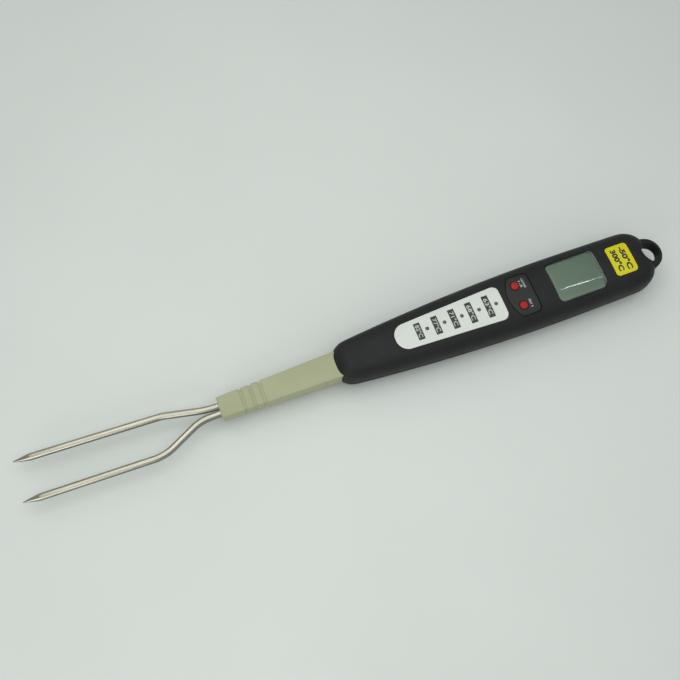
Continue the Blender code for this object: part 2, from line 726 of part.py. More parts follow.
def build_window():
    """A clear block with a flat middle and sides that slope down to the shell."""
    shoulder, side = 5.4 * MM, 12 * MM
    low, edge, top = 21.4 * MM, 22.7 * MM, HANDLE_TOP
    profile = [(-side, low), (side, low), (side, edge), (shoulder, top), (-shoulder, top), (-side, edge)]
    ends = (WINDOW_START - MM, WINDOW_END + MM)
    lens = loft("window_lens", [[(along(s), y, z) for y, z in profile] for s in ends], "clear_plastic")
    outline = rectangle(WINDOW_START, WINDOW_END, WINDOW_HALF, 3 * MM, -GAP)
    boolean(lens, "INTERSECT", prism("lens_outline", outline, 20 * MM, 26 * MM))
    gasket_start, gasket_end, gasket_half = WINDOW_START + 0.3 * MM, WINDOW_END - 0.3 * MM, 11.1 * MM
    outline = rectangle(gasket_start, gasket_end, gasket_half, 2 * MM)
    gasket = prism("lens_gasket", outline, 20.65 * MM, 21.1 * MM, "rubber")
    opening = rectangle(gasket_start, gasket_end, gasket_half, 2 * MM, -1.1 * MM)
    boolean(gasket, "DIFFERENCE", prism("gasket_opening", opening, 20 * MM, 22 * MM))


def build_light_guide():
    low = BOARD_PARTS + 3.6 * MM
    start, end = LIGHT_START - 2.4 * MM, LIGHT_START + (LIGHT_COUNT - 1) * LIGHT_PITCH + 2.4 * MM
    guide = box("light_guide", (start, -1.6 * MM, low), (end, 1.6 * MM, low + 1.2 * MM), "clear_plastic")
    for number, station in enumerate(light_stations(), 1):
        top = handle_top(station) - 0.1 * MM
        tip = post(f"light_tip_{number}", station, 0, low + 0.6 * MM, top, LIGHT_RADIUS)
        boolean(guide, "UNION", tip)
        base = BOARD_PARTS
        lamp = [(0, base + 3.1 * MM), (0.75 * MM, base + 2.9 * MM), (1.2 * MM, base + 2.3 * MM)]
        lamp += [(1.2 * MM, base + 0.8 * MM), (1.5 * MM, base + 0.8 * MM), (1.5 * MM, base), (0, base)]
        turned(f"indicator_led_{number}", lamp, station, 0, "clear_plastic", 12)


def build_buttons():
    """Each red cap stands on a switch stem, and the stem goes down into a switch body."""
    top = HANDLE_TOP - 0.15 * MM
    radius = BUTTON_RADIUS
    cap = [(0, top), (0.6 * radius, top - 0.08 * MM), (0.9 * radius, top - 0.35 * MM)]
    cap += [(radius, top - 0.8 * MM), (radius, 21.5 * MM), (1.35 * radius, 21.5 * MM)]
    cap += [(1.35 * radius, 20.6 * MM), (0, 20.6 * MM)]
    stem = [(0, 20.3 * MM), (1.5 * MM, 20.3 * MM), (1.7 * MM, 20.1 * MM), (1.7 * MM, 17.6 * MM)]
    stem += [(0, 17.6 * MM)]
    for name, side in (("power", -1), ("select", 1)):
        y = side * BUTTON_SIDE
        turned(f"{name}_button", cap, BUTTON_STATION, y, "button_red")
        turned(f"{name}_switch_stem", stem, BUTTON_STATION, y, "chip_black", 12)
        low = (BUTTON_STATION - 3 * MM, y - 3 * MM, BOARD_PARTS)
        high = (BUTTON_STATION + 3 * MM, y + 3 * MM, 19.2 * MM)
        body = box(f"{name}_switch", low, high, "chip_black", 0.3 * MM)
        well = post(f"{name}_well", BUTTON_STATION, y, 16.6 * MM, 20 * MM, 1.7 * MM + GAP)
        boolean(body, "DIFFERENCE", well)


# ---------------------------------------------------------------- electronics


def build_board():
    start_half, middle_half = 9.4 * MM, 12.6 * MM
    corners = [(BOARD_START, -start_half, MM), (250 * MM, -middle_half, 0), (BOARD_END, -middle_half, MM)]
    corners += [(station, -y, radius) for station, y, radius in reversed(corners)]
    board = prism("circuit_board", rounded(corners), BOARD_BOTTOM, BOARD_TOP, "board_green")
    boolean(board, "DIFFERENCE", posts("board_holes", both_sides(BOARD_SCREWS), 13 * MM, 17 * MM, 1.3 * MM))
    number = 0
    seat = BOARD_BOTTOM - GAP
    for station, y in both_sides(BOARD_SCREWS):
        number += 1
        profile = head_down(screw_profile(seat, 1.8 * MM, 1.2 * MM, 0.9 * MM, 5.2 * MM), seat)
        turned(f"board_screw_{number}", profile, station, y, "plated_steel", 12)
    chip = (312 * MM, 0)
    dome = [(0, 13.9 * MM), (5.5 * MM, 13.9 * MM), (5.3 * MM, 13.2 * MM), (3.4 * MM, 12.5 * MM)]
    dome += [(0, 12.2 * MM)]
    turned("controller_chip", dome, *chip, "chip_black", 16)
    box("crystal", (300 * MM, -7 * MM, 12.6 * MM), (306 * MM, -5 * MM, 13.9 * MM), "plated_steel", 0.4 * MM)
    can = [(0, 13.9 * MM), (2 * MM, 13.9 * MM), (2 * MM, 9.2 * MM), (1.6 * MM, 8.9 * MM), (0, 8.9 * MM)]
    turned("capacitor", can, 301 * MM, 5.5 * MM, "chip_black", 12)
    sounder = [(0, 13.9 * MM), (5 * MM, 13.9 * MM), (5 * MM, 10.4 * MM), (4.6 * MM, 10 * MM)]
    sounder += [(1 * MM, 10 * MM), (1 * MM, 10.8 * MM), (0, 10.8 * MM)]
    turned("buzzer", sounder, 326.5 * MM, 0, "chip_black", 20)


def build_display():
    start, end, half = WINDOW_START - 1.4 * MM, WINDOW_END + 1.4 * MM, 11.2 * MM
    glass_low, glass_high = 18.5 * MM, 20.3 * MM
    box("display_glass", (start, -half, glass_low), (end, half, glass_high), "display_grey", 0.15 * MM)
    rim = 1.5 * MM
    frame_low = (start - rim, -12.7 * MM, BOARD_PARTS)
    frame_high = (end + rim, 12.7 * MM, 19 * MM)
    frame = box("display_frame", frame_low, frame_high, "inner_plastic")
    seat_low = (start - GAP, -half - GAP, glass_low - GAP)
    boolean(frame, "DIFFERENCE", box("glass_seat", seat_low, (end + GAP, half + GAP, 22 * MM)))
    ledge = 1.6 * MM
    hole_low = (start + ledge, -11 * MM, 14 * MM)
    boolean(frame, "DIFFERENCE", box("frame_hole", hole_low, (end - ledge, 11 * MM, 22 * MM)))
    for number, side in enumerate((-1, 1), 1):
        inner, outer = sorted((side * 8.9 * MM, side * 10.7 * MM))
        low = (start + ledge + GAP, inner, BOARD_PARTS)
        high = (end - ledge - GAP, outer, glass_low - GAP)
        box(f"zebra_strip_{number}", low, high, "rubber")


def build_power():
    plate = 0.4 * MM
    neck_plate = BAY_START + GAP
    loop_plate = BAY_END - GAP - plate
    height = (CELL_HEIGHT - 3.6 * MM, CELL_HEIGHT + 3.6 * MM)
    reach = 3.4 * MM
    for name, side in (("negative_contact", 1), ("positive_contact", -1)):
        low = (neck_plate, side * CELL_SIDE - reach, height[0])
        contact = box(name, low, (neck_plate + plate, side * CELL_SIDE + reach, height[1]), "plated_steel")
        low = (neck_plate, side * CELL_SIDE - TAIL_HALF, height[1] - MM)
        high = (neck_plate + plate, side * CELL_SIDE + TAIL_HALF, BOARD_BOTTOM - GAP)
        boolean(contact, "UNION", box(f"{name}_tail", low, high))
    low = (loop_plate, -CELL_SIDE - reach, height[0])
    box("link_contact", low, (loop_plate + plate, CELL_SIDE + reach, height[1]), "plated_steel")
    neck_face = neck_plate + plate + GAP
    loop_face = loop_plate - GAP
    cell("cell_1", loop_face, -1, CELL_SIDE)
    cell("cell_2", neck_face, 1, -CELL_SIDE)
    cell_span = CELL_LENGTH + GAP
    contact_spring("contact_spring_1", neck_face, loop_face - cell_span, CELL_SIDE)
    contact_spring("contact_spring_2", loop_face, neck_face + cell_span, -CELL_SIDE)


def cell(name, tip, direction, y):
    """An AAA cell lying along X, its positive tip first."""
    nub, rim = 0.9 * MM, 0.4 * MM
    profile = [(0, 0), (1.9 * MM, 0), (1.9 * MM, -nub), (CELL_RADIUS - rim, -nub)]
    profile += [(CELL_RADIUS, -nub - rim), (CELL_RADIUS, rim - CELL_LENGTH)]
    profile += [(CELL_RADIUS - rim, -CELL_LENGTH), (0, -CELL_LENGTH)]
    obj = turned(name, profile, tip, y, "cell_jacket", 20)
    obj.location.z = CELL_HEIGHT
    obj.rotation_euler.y = -direction * math.pi / 2
    smooth(obj, 40)


def contact_spring(name, wide_end, narrow_end, y):
    """A conical coil from its plate to the cell's flat end."""
    wire_radius = 0.3 * MM
    turns, per_turn = 4, 10
    low = wide_end + math.copysign(wire_radius, narrow_end - wide_end)
    high = narrow_end - math.copysign(wire_radius, narrow_end - wide_end)
    points = []
    for k in range(turns * per_turn + 1):
        share = k / (turns * per_turn)
        angle = 2 * math.pi * k / per_turn
        radius = (3.6 - 1.9 * share) * MM
        station = low + (high - low) * share
        points.append((station, y + radius * math.cos(angle), CELL_HEIGHT + radius * math.sin(angle)))
    wire(name, points, wire_radius, "plated_steel", resolution=1)


def build_model():
    build_neck()
    build_tines()
    build_clamp()
    build_upper_shell()
    build_lower_shell()
    build_door()
    build_shell_screws()
    build_face()
    build_buttons()
    build_board()
    build_display()
    build_power()


clear_scene()
PARTS = new_collection("fork_thermometer")
CUTTERS = new_collection("cutters")
build_model()
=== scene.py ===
"""Looks of the fork thermometer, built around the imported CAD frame.

Lengths are in metres. Places along the length are stations, which grow toward the loop, as in the CAD.
"""

import json
import math

import bmesh
import bpy
from mathutils import Matrix, Vector
from mathutils.geometry import delaunay_2d_cdt


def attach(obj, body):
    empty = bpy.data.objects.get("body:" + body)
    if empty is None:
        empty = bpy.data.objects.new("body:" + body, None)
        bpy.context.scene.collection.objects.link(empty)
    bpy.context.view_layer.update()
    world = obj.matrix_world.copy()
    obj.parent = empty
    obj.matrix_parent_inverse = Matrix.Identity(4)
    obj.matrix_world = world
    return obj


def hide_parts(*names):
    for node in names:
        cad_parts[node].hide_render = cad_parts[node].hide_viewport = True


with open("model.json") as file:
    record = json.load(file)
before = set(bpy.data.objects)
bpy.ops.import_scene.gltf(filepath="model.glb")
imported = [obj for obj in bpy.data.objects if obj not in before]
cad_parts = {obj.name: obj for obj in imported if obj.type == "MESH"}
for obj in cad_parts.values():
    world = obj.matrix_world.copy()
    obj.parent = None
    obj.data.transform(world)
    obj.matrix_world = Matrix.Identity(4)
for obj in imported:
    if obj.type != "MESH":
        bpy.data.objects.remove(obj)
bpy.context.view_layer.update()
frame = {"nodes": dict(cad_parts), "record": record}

MM = 0.001
GAP = 0.3 * MM

# ---- the CAD's dimensions

TIP_STATION = 1.8 * MM
HANDLE_HALF_WIDTH = 18 * MM
HANDLE_TOP = 24 * MM
PARTING = 10.5 * MM
WALL = 1.8 * MM
TINE_RADIUS = 1.95 * MM
TINE_HEIGHT = 10.3 * MM
WIDEST = 300 * MM
NOSE_START, NOSE_LENGTH, NOSE_POWER = 184.4 * MM, 11.0 * MM, 2.5
TAIL_START, TAIL_LENGTH, TAIL_POWER = 348.2 * MM, 15.9 * MM, 2.4
UPPER_POWER, LOWER_POWER = 3.0, 2.25
FOOT_DEPTH = 0.6 * MM
CAVITY_END = 354.6 * MM
LOOP_CENTRE, LOOP_RADIUS = 360.6 * MM, 9.4 * MM
HOLE_CENTRE, HOLE_RADIUS = 362.5 * MM, 5.4 * MM
LOOP_TOP = 18.6 * MM
LOOP_END = LOOP_CENTRE + LOOP_RADIUS
NECK_FRONT, NECK_END, COLLAR_END = 109.5 * MM, 182 * MM, 185 * MM
GROOVES = (122.5 * MM, 128.0 * MM, 133.3 * MM)
GROOVE_WIDTH, GROOVE_DEPTH, GROOVE_RAMP = 2.2 * MM, 0.5 * MM, 0.9 * MM
TINE_EXIT, TINE_END, TIP_SIDE, TIP_SPREAD = 2.1 * MM, 204 * MM, 10.95 * MM, 22.1 * MM
LABEL_START, LABEL_END = 208.5 * MM, 271 * MM
LABEL_HALF_START, LABEL_HALF_END = 7.0 * MM, 10.1 * MM
LIGHT_START, LIGHT_PITCH, LIGHT_COUNT, LIGHT_RADIUS = 226.7 * MM, 10.05 * MM, 5, 0.95 * MM
PANEL_START, PANEL_END, PANEL_HALF, PANEL_ARC = 274.2 * MM, 289.5 * MM, 11.75 * MM, 17.8 * MM
BUTTON_STATION, BUTTON_SIDE, BUTTON_RADIUS = 280.8 * MM, 5.95 * MM, 2.2 * MM
WINDOW_START, WINDOW_END, WINDOW_HALF = 300.9 * MM, 329.8 * MM, 11.6 * MM
BADGE_START, BADGE_END, BADGE_HALF = 336.3 * MM, 349.3 * MM, 8.85 * MM
BAY_START, BAY_END, BAY_HALF, BAY_TOP, BAY_WALL = 235.2 * MM, 288.4 * MM, 11.6 * MM, 13 * MM, 1.2 * MM
DOOR_START, DOOR_END, DOOR_HALF = 237.9 * MM, 285.7 * MM, 11 * MM
DOOR_THICKNESS, DOOR_INSET = 1.5 * MM, 0.35 * MM
SHELL_SCREWS = ((211 * MM, 9.2 * MM), (343.5 * MM, 8.8 * MM))
SCREW_SEAT = 4.7 * MM


def along(station):
    return station - (TIP_STATION + LOOP_END) / 2


# ---- materials


class Finish:
    """A node material under construction, with one Principled shader."""

    def __init__(self, name):
        self.material = bpy.data.materials.new(name)
        self.material.use_nodes = True
        self.tree = self.material.node_tree
        self.shader = self.tree.nodes["Principled BSDF"]
        self.coordinates = self.add("ShaderNodeTexCoord").outputs["Object"]

    def add(self, kind, inputs=(), **settings):
        made = self.tree.nodes.new(kind)
        for key, value in settings.items():
            setattr(made, key, value)
        for key, value in dict(inputs).items():
            self.put(made.inputs[key], value)
        return made

    def put(self, socket, value):
        if isinstance(value, bpy.types.NodeSocket):
            self.tree.links.new(value, socket)
        else:
            socket.default_value = value

    def set(self, **values):
        for key, value in values.items():
            self.put(self.shader.inputs[key.replace("_", " ")], value)

    def stretched(self, scale, vector=None):
        """Coordinates scaled along each axis."""
        inputs = {0: vector or self.coordinates, 1: scale}
        return self.add("ShaderNodeVectorMath", inputs, operation="MULTIPLY").outputs[0]

    def noise(self, scale, detail=3.0, vector=None, roughness=0.55):
        inputs = {"Vector": vector or self.coordinates, "Scale": scale}
        inputs.update({"Detail": detail, "Roughness": roughness})
        return self.add("ShaderNodeTexNoise", inputs).outputs["Fac"]

    def ranged(self, value, low, high, start=0.3, end=0.7):
        inputs = {"Value": value, "From Min": start, "From Max": end, "To Min": low, "To Max": high}
        return self.add("ShaderNodeMapRange", inputs).outputs["Result"]

    def math(self, operation, a, b=0.0, c=0.0):
        return self.add("ShaderNodeMath", {0: a, 1: b, 2: c}, operation=operation).outputs[0]

    def mix(self, share, one, two):
        made = self.add("ShaderNodeMix", data_type="RGBA")
        self.put(made.inputs[0], share)
        self.put(made.inputs[6], one)
        self.put(made.inputs[7], two)
        return made.outputs[2]

    def bump(self, height, strength, distance, normal=None):
        inputs = {"Height": height, "Strength": strength, "Distance": distance}
        if normal:
            inputs["Normal"] = normal
        return self.add("ShaderNodeBump", inputs).outputs["Normal"]


def shade(colour, factor):
    return (*(min(1, c * factor) for c in colour[:3]), 1)


def moulded(name, colour, roughness, mottle=0.1, grain=2600, depth=0.012, sheen=0.0, coat=0.0, specular=0.5):
    """Moulded or painted plastic: a fine texture, faint clouds of colour and handling marks in the gloss."""
    made = Finish(name)
    clouds = made.noise(55, 4)
    marks = made.noise(210, 5, made.stretched((1, 2.2, 1)))
    fine = made.noise(grain, 2)
    tone = made.mix(made.ranged(clouds, 0, 1), shade(colour, 1 - mottle), shade(colour, 1 + mottle))
    speckle = made.mix(made.ranged(fine, 0, 0.5, 0.45, 0.75), tone, shade(colour, 1 + 2.2 * mottle))
    made.set(Base_Color=speckle, Coat_Weight=coat, Coat_Roughness=0.12)
    made.set(Sheen_Weight=sheen, Sheen_Roughness=0.4)
    spread = made.math("ADD", made.ranged(marks, -0.05, 0.06), made.ranged(fine, -0.03, 0.03))
    made.set(Roughness=made.math("ADD", spread, roughness), Specular_IOR_Level=specular)
    height = made.math("ADD", made.math("MULTIPLY", marks, 0.35), fine)
    made.set(Normal=made.bump(height, 0.5, depth * MM))
    return made


def soft_touch():
    colour = (0.0105, 0.0128, 0.0122)
    made = moulded("soft_touch_black", colour, 0.58, 0.16, 3400, 0.02, sheen=0.02, specular=0.27)
    made.set(Sheen_Tint=(0.75, 0.85, 0.9, 1))
    return made.material


def steel(name, colour=(0.52, 0.5, 0.415), roughness=0.25):
    """Drawn rod: fine lines along the metal, from an attribute that holds distance along and round it, and a
    painted shade line, near black, along the rod's near side.
    """
    made = Finish(name)
    grain = made.add("ShaderNodeAttribute", attribute_name="grain").outputs["Vector"]
    drawn = made.noise(1, 3, made.stretched((60, 5200, 1), grain))
    clouds = made.noise(1, 4, made.stretched((260, 900, 1), grain))
    tone = made.mix(made.ranged(clouds, 0, 1), shade(colour, 0.94), shade(colour, 1.05))
    toned = made.mix(made.ranged(drawn, 0, 0.85), tone, shade(colour, 0.62))
    spread = made.math("ADD", made.ranged(drawn, -0.05, 0.06), made.ranged(clouds, -0.015, 0.02))
    # Painted shade: the base colour goes nearly black along the rod's near side, a painted dark reflection in
    # place of the shade that side would mirror.
    around = made.add("ShaderNodeSeparateXYZ", {0: grain}).outputs[1]
    edge = made.ranged(around, 0.3, 1, 0.1 * math.pi * TINE_RADIUS, 0.2 * math.pi * TINE_RADIUS)
    toned = made.mix(edge, (0.02, 0.02, 0.017, 1), toned)
    made.set(Base_Color=toned, Metallic=1.0, Roughness=made.math("ADD", spread, roughness))
    made.set(Normal=made.bump(drawn, 0.35, 0.006 * MM))
    return made.material


def metal(name, colour, roughness):
    """Plated or turned small metal parts."""
    made = Finish(name)
    clouds = made.noise(700, 4)
    fine = made.noise(5200, 2)
    tone = made.mix(made.ranged(clouds, 0, 1), shade(colour, 0.82), shade(colour, 1.12))
    made.set(Base_Color=tone, Metallic=1.0)
    made.set(Roughness=made.math("ADD", made.ranged(clouds, -0.06, 0.08), roughness))
    made.set(Normal=made.bump(fine, 0.3, 0.006 * MM))
    return made.material


def clear(name, tint, roughness, mirror_ior=1.49):
    """A clear window: it shows what is behind it and mirrors by angle, with faint marks in the gloss."""
    made = Finish(name)
    marks = made.noise(180, 5)
    bump = made.bump(marks, 0.1, 0.02 * MM)
    through = made.add("ShaderNodeBsdfTransparent", {"Color": tint})
    rough = made.ranged(marks, roughness, roughness + 0.05)
    gloss = made.add("ShaderNodeBsdfGlossy", {"Roughness": rough, "Normal": bump})
    share = made.add("ShaderNodeFresnel", {"IOR": mirror_ior, "Normal": bump}).outputs[0]
    both = made.add("ShaderNodeMixShader", {0: share})
    made.tree.links.new(through.outputs[0], both.inputs[1])
    made.tree.links.new(gloss.outputs[0], both.inputs[2])
    made.tree.nodes.remove(made.shader)
    output = made.tree.nodes["Material Output"]
    made.tree.links.new(both.outputs[0], output.inputs["Surface"])
    return made.material


def liquid_crystal():
    """The display behind the window: grey-green, with painted shade that makes it a little darker toward the
    loop's far corner.
    """
    made = Finish("liquid_crystal")
    parts = made.add("ShaderNodeSeparateXYZ", {0: made.coordinates}).outputs
    start, end = along(WINDOW_START), along(WINDOW_END)
    toward_loop = made.ranged(parts[0], 0, 1, start, end)
    toward_far = made.ranged(parts[1], 0, 1, -WINDOW_HALF, WINDOW_HALF)
    slope = made.math("MULTIPLY_ADD", toward_loop, 0.55, made.math("MULTIPLY", toward_far, 0.45))
    clouds = made.noise(160, 3)
    share = made.math("ADD", slope, made.ranged(clouds, -0.06, 0.06))
    # Painted shade: the tone runs darker toward the loop end and toward the far side.
    tone = made.mix(share, (0.2, 0.285, 0.205, 1), (0.125, 0.19, 0.14, 1))
    cells = made.noise(5200, 1)
    made.set(Base_Color=made.mix(made.ranged(cells, 0, 0.12), tone, (0.1, 0.15, 0.11, 1)))
    made.set(Roughness=made.ranged(clouds, 0.28, 0.36), Normal=made.bump(cells, 0.1, 0.004 * MM))
    return made.material


def circuit_green():
    """Solder mask over copper tracks."""
    made = Finish("circuit_green")
    tracks = made.add("ShaderNodeTexBrick", {"Vector": made.coordinates, "Scale": 420, "Mortar Size": 0.06})
    made.put(tracks.inputs["Color1"], (0.012, 0.075, 0.03, 1))
    made.put(tracks.inputs["Color2"], (0.016, 0.1, 0.04, 1))
    made.put(tracks.inputs["Mortar"], (0.03, 0.17, 0.07, 1))
    made.set(Base_Color=tracks.outputs["Color"], Roughness=made.ranged(made.noise(300), 0.3, 0.45))
    made.set(Normal=made.bump(tracks.outputs["Fac"], 0.4, 0.03 * MM))
    return made.material


def cell_jacket():
    """A plain printed jacket: two colours along the cell and bare steel ends."""
    made = Finish("cell_jacket")
    parts = made.add("ShaderNodeSeparateXYZ", {0: made.coordinates}).outputs
    band = made.math("GREATER_THAN", parts[0], along(252 * MM))
    clouds = made.ranged(made.noise(240, 4), 0, 1)
    dark = made.mix(clouds, (0.018, 0.04, 0.1, 1), (0.026, 0.055, 0.13, 1))
    light = made.mix(clouds, (0.42, 0.43, 0.44, 1), (0.5, 0.51, 0.52, 1))
    made.set(Base_Color=made.mix(band, light, dark), Roughness=made.ranged(made.noise(900), 0.22, 0.36))
    made.set(Coat_Weight=0.4, Coat_Roughness=0.1, Normal=made.bump(made.noise(1500), 0.2, 0.01 * MM))
    return made.material


def floor_white():
    made = Finish("floor_white")
    clouds = made.noise(7, 5)
    weave = made.noise(900, 3)
    tone = made.mix(made.ranged(clouds, 0, 1), (0.67, 0.705, 0.675, 1), (0.7, 0.735, 0.705, 1))
    made.set(Base_Color=tone, Roughness=made.ranged(weave, 0.72, 0.85), Specular_IOR_Level=0.25)
    height = made.math("ADD", made.math("MULTIPLY", clouds, 4), made.math("MULTIPLY", weave, 0.1))
    made.set(Normal=made.bump(height, 0.25, 0.5 * MM))
    return made.material


def finishes():
    khaki = moulded("khaki_plastic", (0.345, 0.36, 0.214), 0.36, 0.05, 1900, 0.02)
    label = moulded("label_white", (0.66, 0.7, 0.65), 0.45, 0.02, 3800, 0.01, specular=0.35)
    badge = moulded("badge_yellow", (0.65, 0.58, 0.012), 0.45, 0.03, 2400, 0.008, specular=0.25)
    red = moulded("button_red", (0.345, 0.0145, 0.0105), 0.5, 0.07, 2100, 0.012, specular=0.28)
    panel = moulded("panel_grey", (0.0195, 0.0205, 0.0185), 0.5, 0.12, 2100, 0.02, specular=0.3)
    return {
        "soft_touch_black": soft_touch(),
        "khaki_plastic": khaki.material,
        "stainless_steel": steel("stainless_steel"),
        "label_white": label.material,
        "badge_yellow": badge.material,
        "panel_grey": panel.material,
        "button_red": red.material,
        "clear_plastic": clear("clear_plastic", (0.95, 0.97, 0.95, 1), 0.025, 1.45),
        "display_grey": liquid_crystal(),
        "board_green": circuit_green(),
        "chip_black": moulded("chip_black", (0.014, 0.014, 0.015), 0.38, 0.1, 1800, 0.01).material,
        "inner_plastic": moulded("inner_plastic", (0.03, 0.03, 0.031), 0.5, 0.1, 1500, 0.02).material,
        "plated_steel": metal("plated_steel", (0.62, 0.61, 0.59), 0.26),
        "cell_jacket": cell_jacket(),
        "rubber": moulded("rubber", (0.035, 0.035, 0.035), 0.75, 0.12, 1200, 0.04).material,
        "lead_jacket": moulded("lead_jacket", (0.36, 0.03, 0.025), 0.45, 0.08, 1300, 0.02).material,
    }


FINISHES = finishes()
PRINT_BLACK = moulded("print_black", (0.02, 0.021, 0.02), 0.45, 0.12, 2600, 0.006).material
PRINT_WHITE = moulded("print_white", (0.5, 0.53, 0.49), 0.45, 0.03, 2600, 0.006).material
PRINT_PALE = moulded("print_pale", (0.4, 0.47, 0.46), 0.45, 0.05, 2600, 0.006).material
LAMP_GREY = moulded("lamp_grey", (0.1, 0.11, 0.1), 0.55, 0.08, 2600, 0.006, specular=0.2).material


# ---- meshes


def add(name, mesh, finish=None):
    made = bpy.data.objects.new(name, mesh)
    bpy.context.scene.collection.objects.link(made)
    if finish:
        mesh.materials.clear()
        mesh.materials.append(finish)
    return made


def mesh_of(name, form):
    bmesh.ops.recalc_face_normals(form, faces=form.faces)
    mesh = bpy.data.meshes.new(name)
    form.to_mesh(mesh)
    form.free()
    return mesh


def smooth(obj, degrees=30):
    obj.data.shade_smooth()
    obj.data.set_sharp_from_angle(angle=math.radians(degrees))
    return obj


def boolean(target, operation, tool):
    """Cuts or joins target's mesh with tool's, which is used up."""
    cut = target.modifiers.new(tool.name, "BOOLEAN")
    cut.operation = operation
    cut.solver = "EXACT"
    cut.object = tool
    bpy.context.view_layer.update()
    graph = bpy.context.evaluated_depsgraph_get()
    mesh = bpy.data.meshes.new_from_object(target.evaluated_get(graph))
    if not mesh.polygons:
        raise ValueError(f"nothing is left of {target.name} after {operation} with {tool.name}")
    target.modifiers.clear()
    target.data = mesh
    bpy.data.objects.remove(tool, do_unlink=True)
    return target


def cut(target, tool):
    return boolean(target, "DIFFERENCE", tool)


def join(target, tool):
    return boolean(target, "UNION", tool)


def bridge(form, rings, closed=True):
    """Faces between successive rings of vertices, each ring closed on itself."""
    for one, two in zip(rings, rings[1:]):
        count = len(one)
        for i in range(count if closed else count - 1):
            j = (i + 1) % count
            form.faces.new((one[i], one[j], two[j], two[i]))


def capped(form, rings):
    """Rings of vertices joined into a closed solid."""
    bridge(form, rings)
    form.faces.new(rings[0])
    form.faces.new(rings[-1])


def round_ring(form, station, y, radius, z, sides):
    return [form.verts.new((along(s), t, z)) for s, t in circle(station, y, radius, sides)]


def loft(name, sections, finish=None):
    form = bmesh.new()
    capped(form, [[form.verts.new(p) for p in section] for section in sections])
    return add(name, mesh_of(name, form), finish)


def prism(name, outline, low, high):
    return loft(name, [[(along(p[0]), p[1], z) for p in outline] for z in (low, high)])


def box(name, low, high):
    (s0, y0, z0), (s1, y1, z1) = low, high
    return prism(name, [(s0, y0), (s1, y0), (s1, y1), (s0, y1)], z0, z1)


def posts(name, places, low, high, radius, sides=32):
    form = bmesh.new()
    for station, y in places:
        capped(form, [round_ring(form, station, y, radius, z, sides) for z in (low, high)])
    return add(name, mesh_of(name, form))


def circle(station, y, radius, sides=48):
    turn = 2 * math.pi / sides
    return [(station + radius * math.cos(k * turn), y + radius * math.sin(k * turn)) for k in range(sides)]


def both_sides(places):
    return [(station, side * y) for station, y in places for side in (-1, 1)]


def arc(start, end, steps):
    """Angles in radians from start to end in degrees."""
    return [math.radians(start + (end - start) * k / steps) for k in range(steps + 1)]


def fillet(previous, corner, following, radius, steps):
    corner = Vector(corner)
    before = (Vector(previous) - corner).normalized()
    after = (Vector(following) - corner).normalized()
    half = before.angle(after) / 2
    centre = corner + (before + after).normalized() * radius / math.sin(half)
    start = corner + before * radius / math.tan(half) - centre
    end = corner + after * radius / math.tan(half) - centre
    return [centre + start.slerp(end, k / steps) * radius for k in range(steps + 1)]


def rounded(corners, steps=10, closed=True):
    points = []
    for i, (station, y, radius) in enumerate(corners):
        ends_here = not closed and i in (0, len(corners) - 1)
        if radius == 0 or ends_here:
            points.append(Vector((station, y)))
            continue
        following = corners[(i + 1) % len(corners)]
        points += fillet(corners[i - 1][:2], (station, y), following[:2], radius, steps)
    return points


def rectangle(start, end, half, radius, margin=0, steps=10):
    radius += margin
    low, high, side = start - margin, end + margin, half + margin
    corners = [(low, -side, radius), (high, -side, radius), (high, side, radius), (low, side, radius)]
    return rounded(corners, steps)


class Outline:
    """A closed outline that can be drawn at any margin, always with the same number of points."""

    def __init__(self, draw, longest=1.0 * MM):
        self.draw = draw
        base = draw(0)
        count = len(base)
        self.cuts = [
            max(1, math.ceil((base[(i + 1) % count] - base[i]).length / longest)) for i in range(count)
        ]

    def at(self, margin):
        base = self.draw(margin)
        points = []
        for i, cuts in enumerate(self.cuts):
            following = base[(i + 1) % len(base)]
            points += [base[i].lerp(following, k / cuts) for k in range(cuts)]
        return points


def hole(station, y, radius, sides=40):
    """A round hole's outline, where a larger margin reaches further into the hole."""
    return Outline(lambda margin: [Vector(p) for p in circle(station, y, radius - margin, sides)])


def inside(point, polygon):
    x, y = point
    found = False
    for one, two in zip(polygon, polygon[1:] + polygon[:1]):
        if (one[1] > y) != (two[1] > y):
            crossing = one[0] + (y - one[1]) * (two[0] - one[0]) / (two[1] - one[1])
            if x < crossing:
                found = not found
    return found


def filling(rim, spacing, shift, stagger, wanted):
    """Points on a grid over a rim's box, kept where wanted says so."""
    low = [min(p[axis] for p in rim) for axis in (0, 1)]
    high = [max(p[axis] for p in rim) for axis in (0, 1)]
    kept = []
    for i in range(int((high[0] - low[0]) / spacing) + 1):
        for j in range(int((high[1] - low[1]) / spacing) + 1):
            across = i + shift[0] + stagger * (j % 2)
            point = (low[0] + across * spacing, low[1] + (j + shift[1]) * spacing)
            if wanted(point):
                kept.append(Vector(point))
    return kept


def drop_loose(form):
    bmesh.ops.delete(form, geom=[v for v in form.verts if not v.link_faces], context="VERTS")


